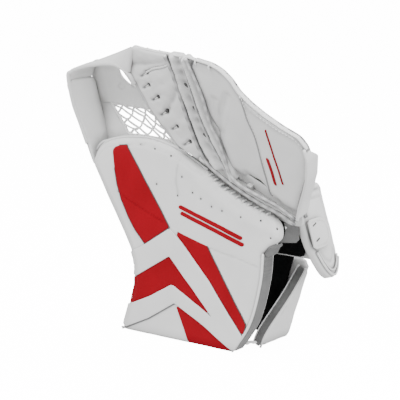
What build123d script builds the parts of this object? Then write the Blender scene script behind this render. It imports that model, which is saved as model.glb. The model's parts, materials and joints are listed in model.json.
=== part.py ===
"""Ice hockey goalie catch glove, for the left hand, standing on its cuff.

Row frame, millimetres: +X runs along the front of the cuff towards the little finger, +Y runs from
the palm towards the back of the hand, +Z is up. The origin is the middle of the bottom edge of the
thumb and cuff pad, half way through the pad's thickness.
"""
from build123d import *
from math import cos, radians, sin
import os

os.makedirs("parts", exist_ok=True)

# ---- Driving dimensions ----------------------------------------------------------------------
pad_thickness = 22.0        # thumb and cuff pad, front skin to lining
skin = 2.0                  # leather skin with its backing cloth
foam = 14.0                 # soft foam core of the pad
board = 3.0                 # plastic stiffener board
lining = 3.0                # palm-side lining of the pad
inlay = 1.2                 # coloured leather laid on the skin
binding = 2.5               # folded knit binding on a raw edge

base_left = -84.0           # cuff bottom, thumb side
base_right = 96.0           # cuff bottom, little-finger side
cuff_depth = 94.0           # back face of the cuff from the frame's XZ plane
wall = 12.0                 # padded cuff wall
cuff_back_height = 108.0    # top of the cuff's back wall
thumb_wall_height = 120.0   # top of the cuff's thumb-side wall
pinky_flare = 18.4          # outward lean of the little-finger panel, degrees
pinky_base = 113.0          # foot of the little-finger panel, outer face
lace_radius = 2.0           # round lace

break_x = 54.0              # a point on the crease where the glove closes
break_z = 227.0
break_slope = 22.7          # fall of the crease towards the heel, degrees
finger_lean = 27.0          # forward lean of the open finger section, degrees
finger_board = 3.0
finger_foam_depth = 14.0
strip_depth = 8.0           # laced palm strip beside the pocket
stall_depth = 26.0          # room for a finger
back_cover = 7.0            # padded cover over the backs of the fingers
stall_wall = 4.0            # wall between two finger stalls
stall_left = -22.0          # first finger stall wall, along the crease
stall_pitch = 31.0          # from one finger stall wall to the next
stall_count = 4
stall_bottom = 14.0         # along the fingers, from the crease
stall_top = 106.0

pocket_lean = 18.0          # lean of the back of the pocket, degrees
web_thickness = 4.0
pocket_wall = 8.0

backhand_top = 204.0
backhand_bottom = 112.0
backhand_front = 62.0       # inner face of the backhand pad
backhand_depth = 18.0
wing_lean = 14.2            # outward lean of the backhand pad's wing, degrees
wing_depth = 16.0
wing_x = 200.0              # outer face of the wing at wing_z
wing_z = 120.0
strap_width = 32.0
strap_thickness = 3.0
body_gap = 0.4              # clearance between pieces that move apart

pad_front = -pad_thickness / 2
pad_back = pad_thickness / 2


# ---- Planes and shapes shared by several pieces ----------------------------------------------
def front_plane(y):
    """A plane facing the shooter at depth y. Its sketches read (x, z)."""
    return Plane(origin=(0, y, 0), x_dir=(1, 0, 0), z_dir=(0, -1, 0))


slope = radians(break_slope)
lean = radians(finger_lean)
along_break = Vector(cos(slope), 0, -sin(slope))
across_break = Vector(sin(slope), 0, cos(slope))
palm_normal = Vector(0, -1, 0) * cos(lean) - across_break * sin(lean)
finger_plane = Plane(
    origin=(break_x, pad_front, break_z), x_dir=along_break, z_dir=palm_normal
)
flare = radians(pinky_flare)
pinky_plane = Plane(
    origin=(pinky_base, 0, 0), x_dir=(0, 1, 0), z_dir=(cos(flare), 0, -sin(flare))
)
tilt = radians(wing_lean)
wing_plane = Plane(
    origin=(wing_x, 0, wing_z), x_dir=(0, 1, 0), z_dir=(cos(tilt), 0, sin(tilt))
)
web_lean = radians(pocket_lean)
web_plane = Plane(
    origin=(-140, 29, 287), x_dir=(1, 0, 0), z_dir=(0, -cos(web_lean), -sin(web_lean))
)
pocket_plane = Plane(origin=(-139, 0, 214), x_dir=(0, 1, 0), z_dir=(0.997, 0, 0.0774))


def polygon(plane, *points):
    """The flat face through the points on a plane."""
    with BuildSketch(plane) as face:
        with BuildLine():
            Polyline(*points, close=True)
        make_face()
    return face.sketch


def ribbon(plane, first, second):
    """The flat strip between two smooth edges that run the same way."""
    with BuildSketch(plane) as face:
        with BuildLine():
            Spline(*first)
            Spline(*second)
            Line(first[0], second[0])
            Line(first[-1], second[-1])
        make_face()
    return face.sketch


def shifted(points, dx, dz=0.0):
    """The same points moved across the plane."""
    return [(x + dx, z + dz) for x, z in points]


thumb_edge = [(-129, 212), (-107, 174), (-82, 133), (-65, 100), (-62, 77), (-68, 47),
              (base_left, 0)]
cuff_thumb_edge = [(-76, 120), (-65, 100), (-62, 77), (-68, 47), (base_left, 0)]
cuff_edge = [(base_right, 0), (123, 41), (138, 93), (142, 131)]
heel = [(142, 131), (153, 141), (166, 149)]
heel_corner = [(166, 149), (171, 162), (160, 178)]
break_edge = [(160, 178), (136, 184), (106, 194), (77, 208), (52, 224)]
crotch_edge = [(52, 224), (17, 241), (-8, 249), (-40, 254), (-73, 252)]
thumb_tip = [(-73, 252), (-113, 240), (-129, 212)]


def pad_outline(y):
    """The outline that every layer of the thumb and cuff pad is cut to."""
    with BuildSketch(front_plane(y)) as face:
        with BuildLine():
            Line((base_left, 0), (base_right, 0))
            Spline(*cuff_edge)
            Polyline(*heel)
            ThreePointArc(*heel_corner)
            Spline(*break_edge)
            Spline(*crotch_edge)
            ThreePointArc(*thumb_tip)
            Spline(*thumb_edge)
        make_face()
    return face.sketch


# ---- Thumb and cuff pad: a sandwich of leather, foam, board and lining ----------------------
skin_back = pad_front + skin
foam_back = skin_back + foam
board_back = foam_back + board

with BuildPart() as front_skin:
    extrude(pad_outline(skin_back), amount=skin)
front_skin.part.label = "front_skin"
export_step(front_skin.part, "parts/front_skin.step")

with BuildPart() as front_foam:
    extrude(pad_outline(foam_back), amount=foam)
front_foam.part.label = "front_foam"
export_step(front_foam.part, "parts/front_foam.step")

with BuildPart() as front_board:
    extrude(pad_outline(board_back), amount=board)
front_board.part.label = "front_board"
export_step(front_board.part, "parts/front_board.step")

with BuildPart() as front_lining:
    extrude(pad_outline(pad_back), amount=lining)
front_lining.part.label = "front_lining"
export_step(front_lining.part, "parts/front_lining.step")

# ---- Coloured leather inlays on the front skin ----------------------------------------------
with BuildPart() as thumb_inlay:
    extrude(
        polygon(front_plane(pad_front), (-92, 236), (-81, 243), (-68, 245), (-18, 173), (0, 146),
                (-40, 119), (-67, 151), (-85, 191)),
        amount=inlay,
    )
thumb_inlay.part.label = "thumb_inlay"
export_step(thumb_inlay.part, "parts/thumb_inlay.step")

with BuildPart() as diagonal_inlay:
    extrude(
        polygon(front_plane(pad_front), (3, 145), (59, 130), (92, 80), (119, 39), (114, 23),
                (64, 84), (20, 130)),
        amount=inlay,
    )
diagonal_inlay.part.label = "diagonal_inlay"
export_step(diagonal_inlay.part, "parts/diagonal_inlay.step")

with BuildPart() as chevron_inlay:
    extrude(
        polygon(front_plane(pad_front), (0, 109), (-61, 71), (-66, 36), (-32, 52), (4, 74),
                (33, 64), (60, 49), (27, 84)),
        amount=inlay,
    )
chevron_inlay.part.label = "chevron_inlay"
export_step(chevron_inlay.part, "parts/chevron_inlay.step")

with BuildPart() as hem_inlay:
    extrude(
        polygon(front_plane(pad_front), (10, 44), (56, 23), (97, 4), (92, 1), (29, 1)),
        amount=inlay,
    )
hem_inlay.part.label = "hem_inlay"
export_step(hem_inlay.part, "parts/hem_inlay.step")

# ---- Edges of the pad -----------------------------------------------------------------------
with BuildPart() as front_edge_binding:
    extrude(
        ribbon(front_plane(pad_back), cuff_edge, shifted(cuff_edge, binding)), amount=pad_thickness
    )
front_edge_binding.part.label = "front_edge_binding"
export_step(front_edge_binding.part, "parts/front_edge_binding.step")

with BuildPart() as thumb_rim_binding:
    with BuildSketch(front_plane(pad_back)):
        with BuildLine():
            Spline(*crotch_edge)
            Spline(*shifted(crotch_edge, 0, binding))
            Line(crotch_edge[0], (52, 224 + binding))
            Line(crotch_edge[-1], (-73, 252 + binding))
        make_face()
        with BuildLine():
            ThreePointArc(*thumb_tip)
            ThreePointArc((-73, 252 + binding), (-115, 242), (-129 - binding, 212))
            Line(thumb_tip[0], (-73, 252 + binding))
            Line(thumb_tip[2], (-129 - binding, 212))
        make_face()
    extrude(amount=pad_thickness)
thumb_rim_binding.part.label = "thumb_rim_binding"
export_step(thumb_rim_binding.part, "parts/thumb_rim_binding.step")

# ---- Lacing of the pad: knots along the break and eyelets round the thumb --------------------
knot_count = 11
knot_length = 10.0
knot_depth = 1.6
first_knot = (58, 212.5)
knot_run, knot_fall, knot_sag = 100.0, 41.0, 8.0
with BuildPart() as break_lacing:
    for i in range(knot_count):
        step = i / (knot_count - 1)
        x = first_knot[0] + knot_run * step
        z = first_knot[1] - knot_fall * step + knot_sag * (2 * step - 1) ** 2
        with Locations(front_plane(pad_front)):
            with Locations((x, z, knot_depth / 2)):
                Box(lace_radius * 2, knot_length, knot_depth)
break_lacing.part.label = "break_lacing"
export_step(break_lacing.part, "parts/break_lacing.step")

eyelet_places = [(-47, 246), (-24, 243), (1, 237), (19, 213), (-21, 199), (12, 188), (36, 195),
                 (49, 189), (65, 181), (81, 178), (110, 174), (139, 173), (162, 166), (154, 154)]
eyelet_radius = 1.6
eyelet_depth = 0.6
with BuildPart() as front_eyelets:
    with BuildSketch(front_plane(pad_front)):
        with Locations(*eyelet_places):
            Circle(eyelet_radius)
    extrude(amount=eyelet_depth)
front_eyelets.part.label = "front_eyelets"
export_step(front_eyelets.part, "parts/front_eyelets.step")

# ---- Cuff walls -----------------------------------------------------------------------------
inner_back = cuff_depth - wall
with BuildPart() as cuff_thumb_wall:
    extrude(
        ribbon(front_plane(inner_back), cuff_thumb_edge, shifted(cuff_thumb_edge, wall)),
        amount=inner_back - pad_back,
    )
cuff_thumb_wall.part.label = "cuff_thumb_wall"
export_step(cuff_thumb_wall.part, "parts/cuff_thumb_wall.step")

flare_at_top = cuff_back_height * sin(flare) / cos(flare)
with BuildPart() as cuff_back_wall:
    with BuildSketch(front_plane(cuff_depth)):
        with BuildLine():
            Spline(*cuff_thumb_edge)
            Line((base_left, 0), (pinky_base, 0))
            Line((pinky_base, 0), (pinky_base + flare_at_top, cuff_back_height))
            Line((pinky_base + flare_at_top, cuff_back_height), (30, cuff_back_height))
            Line((30, cuff_back_height), cuff_thumb_edge[0])
        make_face()
    extrude(amount=wall)
cuff_back_wall.part.label = "cuff_back_wall"
export_step(cuff_back_wall.part, "parts/cuff_back_wall.step")

pinky_front = [(29, 0), (34, 22), (64, 64), (inner_back, 100)]
with BuildPart() as cuff_pinky_panel:
    with BuildSketch(pinky_plane):
        with BuildLine():
            Polyline(*pinky_front, (inner_back, 0), close=True)
        make_face()
    extrude(amount=-wall)
    split(bisect_by=Plane.XY, keep=Keep.TOP)
cuff_pinky_panel.part.label = "cuff_pinky_panel"
export_step(cuff_pinky_panel.part, "parts/cuff_pinky_panel.step")

with BuildPart() as pinky_edge_binding:
    with BuildSketch(pinky_plane):
        with BuildLine():
            Polyline(*pinky_front, (inner_back, 100 + binding),
                     *reversed(shifted(pinky_front[1:3], -binding)), (29 - binding, 0), close=True)
        make_face()
    extrude(amount=-wall)
    split(bisect_by=Plane.XY, keep=Keep.TOP)
pinky_edge_binding.part.label = "pinky_edge_binding"
export_step(pinky_edge_binding.part, "parts/pinky_edge_binding.step")

liner = 2.0
with BuildPart() as cuff_lining:
    extrude(
        polygon(front_plane(inner_back), (-48, 2), (92, 2), (118, 98), (-48, 98)), amount=liner
    )
cuff_lining.part.label = "cuff_lining"
export_step(cuff_lining.part, "parts/cuff_lining.step")

cuff_lace_length = 14.0
with BuildPart() as cuff_lace:
    with BuildSketch(Plane(origin=(99.5, 12.5, 7), z_dir=(0.42, 0.91, 0))):
        Circle(lace_radius)
    extrude(amount=cuff_lace_length)
cuff_lace.part.label = "cuff_lace"
export_step(cuff_lace.part, "parts/cuff_lace.step")

# ---- Inside the hand: palm pad and thumb stall -----------------------------------------------
palm_pad_depth = 4.0
with BuildPart() as palm_pad:
    extrude(
        polygon(front_plane(pad_back + palm_pad_depth), (-40, 120), (120, 112), (140, 150),
                (120, 172), (0, 200), (-40, 190)),
        amount=palm_pad_depth,
    )
palm_pad.part.label = "palm_pad"
export_step(palm_pad.part, "parts/palm_pad.step")

thumb_room = 24.0
thumb_left, thumb_right = -108.0, -60.0
thumb_low, thumb_high = 176.0, 226.0
thumb_wall = 4.0
thumb_middle = (thumb_left + thumb_right) / 2
with BuildPart() as thumb_stall_sides:
    with BuildSketch(front_plane(pad_back + thumb_room)):
        with Locations((thumb_left + thumb_wall / 2, (thumb_low + thumb_high) / 2),
                       (thumb_right - thumb_wall / 2, (thumb_low + thumb_high) / 2)):
            Rectangle(thumb_wall, thumb_high - thumb_low)
        with Locations((thumb_middle, thumb_high - thumb_wall / 2)):
            Rectangle(thumb_right - thumb_left - thumb_wall, thumb_wall)
    extrude(amount=thumb_room)
thumb_stall_sides.part.label = "thumb_stall_sides"
export_step(thumb_stall_sides.part, "parts/thumb_stall_sides.step")

thumb_cover = 6.0
with BuildPart() as thumb_back_cover:
    extrude(
        polygon(front_plane(pad_back + thumb_room + thumb_cover), (thumb_left, 172), (thumb_right, 160),
                (thumb_right, thumb_high), (thumb_left, thumb_high)),
        amount=thumb_cover,
    )
thumb_back_cover.part.label = "thumb_back_cover"
export_step(thumb_back_cover.part, "parts/thumb_back_cover.step")

# ---- Pocket: side wall, T band, web, net and floor -------------------------------------------
with BuildPart() as pocket_side_wall:
    extrude(
        polygon(pocket_plane, (-37, 108), (-33, 114), (11, 114), (36, 20), (36, 0.5), (-1, 0.5)),
        amount=pocket_wall,
    )
pocket_side_wall.part.label = "pocket_side_wall"
export_step(pocket_side_wall.part, "parts/pocket_side_wall.step")

tee_top = [(-149, 331), (-133, 342), (-98, 351), (-66, 353), (-46, 349)]
tee_under = [(-143, 329.5), (-130, 337), (-98, 345), (-66, 347), (-47, 343)]
tee_front, tee_back = -36.0, 10.0
with BuildPart() as tee_top_band:
    extrude(ribbon(front_plane(tee_back), tee_top, tee_under), amount=tee_back - tee_front)
tee_top_band.part.label = "tee_top_band"
export_step(tee_top_band.part, "parts/tee_top_band.step")

with BuildPart() as tee_web:
    with BuildSketch(web_plane.offset(-0.6)):
        with BuildLine():
            Polyline((-6, 0), (78, -2), (92, 56), (20, 50), (-8, 44), close=True)
        make_face()
    extrude(amount=-web_thickness)
tee_web.part.label = "tee_web"
export_step(tee_web.part, "parts/tee_web.step")

net_front = 31.0
net_depth = 3.0
with BuildPart() as pocket_net:
    extrude(
        polygon(front_plane(net_front + net_depth), (-131, 283), (-62, 281), (-28, 255),
                (4, 238), (-131, 238)),
        amount=net_depth,
    )
pocket_net.part.label = "pocket_net"
export_step(pocket_net.part, "parts/pocket_net.step")

floor_thickness = 4.0
with BuildPart() as pocket_floor:
    extrude(
        polygon(front_plane(net_front + net_depth), (-128, 232), (4, 232), (4, 236), (-128, 236)),
        amount=net_front + net_depth - pad_back,
    )
pocket_floor.part.label = "pocket_floor"
export_step(pocket_floor.part, "parts/pocket_floor.step")

# ---- Wrist strap from the heel to the backhand pad -------------------------------------------
wrist_strap_low = 143.0
wrist_strap_width = 26.0
with BuildPart() as wrist_strap:
    with BuildSketch(Plane.XY.offset(wrist_strap_low)):
        with BuildLine():
            Polyline((143, pad_back), (149, pad_back), (172, 25.5), (170, 28), close=True)
        make_face()
    extrude(amount=wrist_strap_width)
wrist_strap.part.label = "wrist_strap"
export_step(wrist_strap.part, "parts/wrist_strap.step")

# ---- Finger section: a second sandwich, hinged to the pad along the break --------------------
panel_left = [(-27, 157), (5, 97), (23, 70), (51, 16)]
panel_points = [*panel_left, (149, 18), (151, 40), (160, 91), (158, 130), (141, 152), (102, 156),
                (71, 161), (40, 175), (9, 176), (-12, 168)]
roll_left = [(-61, 145), (-37, 98), (-20, 56), (7, 19)]
roll_middle = [(-34, 150), (-12, 95), (8, 60), (32, 17)]
roll_low = 5.0
foam_front = -skin
board_front = foam_front - finger_foam_depth
stall_front = board_front - finger_board


def finger_layer(depth):
    """The finger plane, moved depth towards the back of the hand."""
    return finger_plane.offset(-depth)


with BuildPart() as finger_palm_skin:
    extrude(polygon(finger_plane, *panel_points), amount=-skin)
finger_palm_skin.part.label = "finger_palm_skin"
export_step(finger_palm_skin.part, "parts/finger_palm_skin.step")

with BuildPart() as finger_foam:
    extrude(polygon(finger_layer(skin), *panel_points), amount=-finger_foam_depth)
finger_foam.part.label = "finger_foam"
export_step(finger_foam.part, "parts/finger_foam.step")

with BuildPart() as finger_board_insert:
    extrude(polygon(finger_layer(-board_front), *panel_points), amount=-finger_board)
finger_board_insert.part.label = "finger_board_insert"
export_step(finger_board_insert.part, "parts/finger_board_insert.step")

roll_depth = 12.0
with BuildPart() as outer_roll:
    extrude(
        polygon(finger_plane, (-29, 157), (3, 97), (21, 70), (49, 15.5), (149, 17.5), (152, 12),
                (149, roll_low + 4), (40, roll_low + 4), (34, 17), (10, 60), (-10, 95), (-32, 150)),
        amount=-roll_depth,
    )
outer_roll.part.label = "outer_roll"
export_step(outer_roll.part, "parts/outer_roll.step")

with BuildPart() as inner_roll:
    extrude(polygon(finger_plane, *roll_left, *reversed(roll_middle)), amount=-roll_depth)
inner_roll.part.label = "inner_roll"
export_step(inner_roll.part, "parts/inner_roll.step")

with BuildPart() as lace_strip:
    extrude(
        polygon(finger_plane, (-39, 10), (-66, 24), (-90, 42), (-115, 72), (-123, 84), (-119, 127),
                (-96, 137), (-64, 145), (-40, 98), (-23, 56), (3, 19), (-10, 10)),
        amount=-strip_depth,
    )
lace_strip.part.label = "lace_strip"
export_step(lace_strip.part, "parts/lace_strip.step")

strip_lace_places = [(-98, 94), (-92, 76), (-77, 62), (-61, 46), (-43, 32), (-25, 20)]
strip_lace_length = 13.0
strip_lace_turn = 35.0
strip_lace_depth = 1.6
with BuildPart() as strip_laces:
    with BuildSketch(finger_plane):
        with Locations(*strip_lace_places):
            SlotOverall(strip_lace_length, lace_radius * 2, rotation=strip_lace_turn)
    extrude(amount=strip_lace_depth)
strip_laces.part.label = "strip_laces"
export_step(strip_laces.part, "parts/strip_laces.step")

with BuildPart() as finger_edge_binding:
    extrude(
        polygon(finger_plane, (149, 18), (151, 40), (160, 91), (158, 130), (141, 152),
                (142, 152 + binding), (158 + binding, 131), (160 + binding, 91),
                (151 + binding, 40), (149 + binding, 18)),
        amount=-(skin + finger_foam_depth + finger_board),
    )
finger_edge_binding.part.label = "finger_edge_binding"
export_step(finger_edge_binding.part, "parts/finger_edge_binding.step")

with BuildPart() as finger_tip_binding:
    extrude(
        polygon(finger_plane, (141, 152), (102, 156), (71, 161), (40, 175), (9, 176), (-12, 168),
                (-12, 168 + binding), (9, 176 + binding), (41, 175 + binding), (72, 161 + binding),
                (102, 156 + binding), (141, 152 + binding)),
        amount=-(skin + finger_foam_depth + finger_board),
    )
finger_tip_binding.part.label = "finger_tip_binding"
export_step(finger_tip_binding.part, "parts/finger_tip_binding.step")

stall_right = stall_left + stall_pitch * stall_count
stall_plane = finger_layer(-stall_front)
with BuildPart() as finger_stall_walls:
    with BuildSketch(stall_plane):
        for i in range(stall_count + 1):
            with Locations((stall_left + stall_pitch * i, (stall_bottom + stall_top) / 2)):
                Rectangle(stall_wall, stall_top - stall_bottom)
    extrude(amount=-stall_depth)
finger_stall_walls.part.label = "finger_stall_walls"
export_step(finger_stall_walls.part, "parts/finger_stall_walls.step")

with BuildPart() as finger_stall_tips:
    with BuildSketch(stall_plane):
        with Locations(((stall_left + stall_right) / 2, stall_top + stall_wall / 2)):
            Rectangle(stall_right - stall_left + stall_wall, stall_wall)
    extrude(amount=-stall_depth)
finger_stall_tips.part.label = "finger_stall_tips"
export_step(finger_stall_tips.part, "parts/finger_stall_tips.step")

cover_corner = 14.0
with BuildPart() as finger_back_cover:
    with BuildSketch(finger_layer(stall_depth - stall_front)):
        with Locations(((stall_left + stall_right) / 2, (stall_bottom + stall_top + stall_wall) / 2)):
            RectangleRounded(
                stall_right - stall_left + stall_wall,
                stall_top - stall_bottom + stall_wall,
                cover_corner,
            )
    extrude(amount=-back_cover)
finger_back_cover.part.label = "finger_back_cover"
export_step(finger_back_cover.part, "parts/finger_back_cover.step")

# ---- Backhand pad, hinged at its top ---------------------------------------------------------
wing_run = sin(tilt) / cos(tilt)


def wing_inner_x(z):
    """Where the wing's inner face stands at height z."""
    return wing_x - (z - wing_z) * wing_run - wing_depth / cos(tilt)


with BuildPart() as backhand_pad:
    extrude(
        polygon(front_plane(backhand_front + backhand_depth), (60, backhand_bottom),
                (wing_inner_x(backhand_bottom), backhand_bottom),
                (wing_inner_x(backhand_top), backhand_top), (60, backhand_top)),
        amount=backhand_depth,
    )
backhand_pad.part.label = "backhand_pad"
export_step(backhand_pad.part, "parts/backhand_pad.step")

backhand_cloth = 2.0
with BuildPart() as backhand_lining:
    extrude(
        polygon(front_plane(backhand_front), (64, backhand_bottom + 4), (160, backhand_bottom + 4),
                (150, backhand_top - 6), (64, backhand_top - 6)),
        amount=backhand_cloth,
    )
backhand_lining.part.label = "backhand_lining"
export_step(backhand_lining.part, "parts/backhand_lining.step")

wing_top = (backhand_top - wing_z) / cos(tilt)
with BuildPart() as backhand_wing:
    with BuildSketch(wing_plane):
        with BuildLine():
            Line((80, wing_top), (29, wing_top))
            Line((29, wing_top), (29, 38))
            Spline((29, 38), (38, 2), (52, -20), (68, -27))
            Spline((68, -27), (76, -22), (80, -8))
            Line((80, -8), (80, wing_top))
        make_face()
    extrude(amount=-wing_depth)
backhand_wing.part.label = "backhand_wing"
export_step(backhand_wing.part, "parts/backhand_wing.step")

patch = 1.0
patch_length = 22.0
patch_margin = 4.0
tab_root = 31.0
tab_middle = 52.0
tab_height = 36.0
with BuildPart() as hook_patch:
    with BuildSketch(wing_plane):
        with Locations((tab_middle, tab_height)):
            Rectangle(patch_length, strap_width - 2 * patch_margin)
    extrude(amount=patch)
hook_patch.part.label = "hook_patch"
export_step(hook_patch.part, "parts/hook_patch.step")

# ---- Strap tab, which peels off the backhand wing --------------------------------------------
tab_plane = wing_plane.offset(2 * patch + body_gap)
with BuildPart() as strap_tab:
    with BuildSketch(tab_plane):
        with Locations(((tab_root + tab_middle) / 2, tab_height)):
            Rectangle(tab_middle - tab_root, strap_width)
        with Locations((tab_middle, tab_height)):
            Circle(strap_width / 2)
    extrude(amount=strap_thickness)
strap_tab.part.label = "strap_tab"
export_step(strap_tab.part, "parts/strap_tab.step")

with BuildPart() as loop_patch:
    with BuildSketch(tab_plane):
        with Locations((tab_middle, tab_height)):
            Rectangle(patch_length, strap_width - 2 * patch_margin)
    extrude(amount=-patch)
loop_patch.part.label = "loop_patch"
export_step(loop_patch.part, "parts/loop_patch.step")
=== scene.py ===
"""Looks of a goalie catch glove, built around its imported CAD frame.

Sizes in the classes are millimetres in the frame's axes: +X to the little-finger side, +Y to the back
of the hand, +Z up. Every mesh is made in millimetres and brought to metres when its piece is finished.
"""
import json
import logging
import math
from dataclasses import dataclass
from enum import Enum
from typing import Callable, Sequence

import bpy
import numpy as np
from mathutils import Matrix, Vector

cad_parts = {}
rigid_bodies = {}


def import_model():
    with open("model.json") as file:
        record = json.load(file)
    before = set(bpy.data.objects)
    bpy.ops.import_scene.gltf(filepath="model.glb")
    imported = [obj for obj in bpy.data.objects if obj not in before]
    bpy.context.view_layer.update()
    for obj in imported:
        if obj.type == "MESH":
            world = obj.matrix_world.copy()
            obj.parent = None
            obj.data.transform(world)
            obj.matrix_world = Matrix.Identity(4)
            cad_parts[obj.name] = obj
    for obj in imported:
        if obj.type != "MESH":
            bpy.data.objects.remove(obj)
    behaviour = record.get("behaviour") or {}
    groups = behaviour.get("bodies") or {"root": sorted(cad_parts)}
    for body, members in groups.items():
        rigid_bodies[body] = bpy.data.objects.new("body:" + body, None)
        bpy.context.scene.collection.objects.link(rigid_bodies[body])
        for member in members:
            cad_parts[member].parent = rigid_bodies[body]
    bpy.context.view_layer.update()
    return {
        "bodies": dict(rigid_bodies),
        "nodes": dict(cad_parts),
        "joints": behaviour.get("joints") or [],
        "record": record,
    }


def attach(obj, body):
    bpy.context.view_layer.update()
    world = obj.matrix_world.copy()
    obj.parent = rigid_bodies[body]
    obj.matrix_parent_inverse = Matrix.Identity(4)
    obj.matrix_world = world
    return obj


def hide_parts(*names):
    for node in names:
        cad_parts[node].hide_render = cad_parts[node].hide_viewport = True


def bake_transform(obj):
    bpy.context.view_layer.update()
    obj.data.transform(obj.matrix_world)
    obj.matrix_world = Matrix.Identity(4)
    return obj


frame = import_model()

MM = 0.001
TINY = 1e-9
FAR = 1e18
SHARP_ANGLE = 50.0
CURVE_STEPS = 12
HOLLOW_ROUNDS = 3
HOLLOW_START = 0.008
HOLLOW_GAIN = 7.0
SEWN_WIDTH = 2.5
STUFFING_PRESSURE = 4.0
STUFFING_FRAMES = 20
SMALLEST_END = 0.02
END_RINGS = ((0.6, 0.72), (0.0, 1.0))
STITCH_STEP = 0.8
THREAD_SIDES = 6
CAPSULE_RINGS = ((0.0, 0.25), (0.18, 1.0), (0.82, 1.0), (1.0, 0.25))
LOG = logging.getLogger("catch_glove")
Points = np.ndarray
Outline = Sequence[tuple[float, float]]
Surface = Callable[[Points, Points], Points]
Relief = Callable[[Points, Points], Points]


class Body(Enum):
    """The CAD bodies that pieces ride on."""

    CUFF = "thumb_cuff"
    FINGERS = "finger_section"
    BACKHAND = "backhand"
    TAB = "strap_tab_body"


class Slot(Enum):
    """The record's material slots."""

    WHITE = "white_leather"
    RED = "red_leather"
    GREY = "grey_knit"
    BLACK = "black_lining"
    LACE = "lace"
    EYELET = "dark_eyelet"
    HOOK = "hook_and_loop"


# ---- Finishes --------------------------------------------------------------------------------
class Nodes:
    """A small helper that adds and links shader nodes in one material."""

    def __init__(self, name: str) -> None:
        """Starts an empty material with an output and a principled shader.

        Args:
            name: The material's name.
        """
        self.material = bpy.data.materials.new(name)
        self.material.use_nodes = True
        self.tree = self.material.node_tree
        self.shader = self.tree.nodes["Principled BSDF"]
        coordinates = self.add("ShaderNodeTexCoord")
        self.place = coordinates.outputs["Object"]

    def add(self, kind: str, **settings: object) -> bpy.types.Node:
        """Adds a node.

        Args:
            kind: The node's type.
            settings: Properties, or input values where the name starts with "in_".

        Returns:
            The new node.
        """
        node = self.tree.nodes.new(kind)
        for key, value in settings.items():
            if key.startswith("in_"):
                node.inputs[key[3:].replace("_", " ")].default_value = value
            else:
                setattr(node, key, value)
        return node

    def join(self, start: bpy.types.NodeSocket, end: bpy.types.NodeSocket) -> None:
        """Links an output socket to an input socket."""
        self.tree.links.new(start, end)

    def noise(self, scale: float, detail: float = 4.0, rough: float = 0.55) -> bpy.types.NodeSocket:
        """A noise pattern on object coordinates.

        Args:
            scale: Cells per metre.
            detail: Octaves of finer noise.
            rough: How strong the finer octaves are.

        Returns:
            The noise value, from 0 to 1.
        """
        node = self.add("ShaderNodeTexNoise", in_Scale=scale, in_Detail=detail, in_Roughness=rough)
        self.join(self.place, node.inputs["Vector"])
        return node.outputs["Fac"]

    def ramp(self, value: bpy.types.NodeSocket, low: float, high: float,
             first: Sequence[float], last: Sequence[float]) -> bpy.types.NodeSocket:
        """Colours a value by a two-stop ramp.

        Args:
            value: The socket to read.
            low: Position of the first stop.
            high: Position of the last stop.
            first: Colour at the first stop.
            last: Colour at the last stop.

        Returns:
            The ramp's colour socket.
        """
        node = self.add("ShaderNodeValToRGB")
        node.color_ramp.elements[0].position = low
        node.color_ramp.elements[1].position = high
        node.color_ramp.elements[0].color = (*first, 1.0)
        node.color_ramp.elements[1].color = (*last, 1.0)
        self.join(value, node.inputs["Fac"])
        return node.outputs["Color"]

    def math(self, kind: str, first: object, second: object) -> bpy.types.NodeSocket:
        """A math node on two values, each a socket or a number.

        Returns:
            The result's socket.
        """
        node = self.add("ShaderNodeMath", operation=kind)
        for index, value in enumerate((first, second)):
            if isinstance(value, bpy.types.NodeSocket):
                self.join(value, node.inputs[index])
            else:
                node.inputs[index].default_value = value
        return node.outputs[0]

    def mix(self, kind: str, amount: object, first: bpy.types.NodeSocket,
            second: object) -> bpy.types.NodeSocket:
        """Mixes two colours.

        Args:
            kind: Blend type, such as MULTIPLY.
            amount: The share of the second colour, a socket or a number.
            first: The lower colour's socket.
            second: The upper colour, a socket or a tuple of three numbers.

        Returns:
            The mixed colour's socket.
        """
        node = self.add("ShaderNodeMix", data_type="RGBA", blend_type=kind)
        if isinstance(amount, bpy.types.NodeSocket):
            self.join(amount, node.inputs[0])
        else:
            node.inputs[0].default_value = amount
        self.join(first, node.inputs[6])
        if isinstance(second, bpy.types.NodeSocket):
            self.join(second, node.inputs[7])
        else:
            node.inputs[7].default_value = (*second, 1.0)
        return node.outputs[2]

    def bump(self, height: bpy.types.NodeSocket, strength: float, distance: float) -> None:
        """Adds a bump in front of the shader's normal.

        Args:
            height: The height pattern.
            strength: Share of the full bump.
            distance: Depth of the relief in metres.
        """
        node = self.add("ShaderNodeBump", in_Strength=strength, in_Distance=distance)
        self.join(height, node.inputs["Height"])
        before = self.shader.inputs["Normal"]
        if before.is_linked:
            self.join(before.links[0].from_socket, node.inputs["Normal"])
        self.join(node.outputs["Normal"], before)


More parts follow.
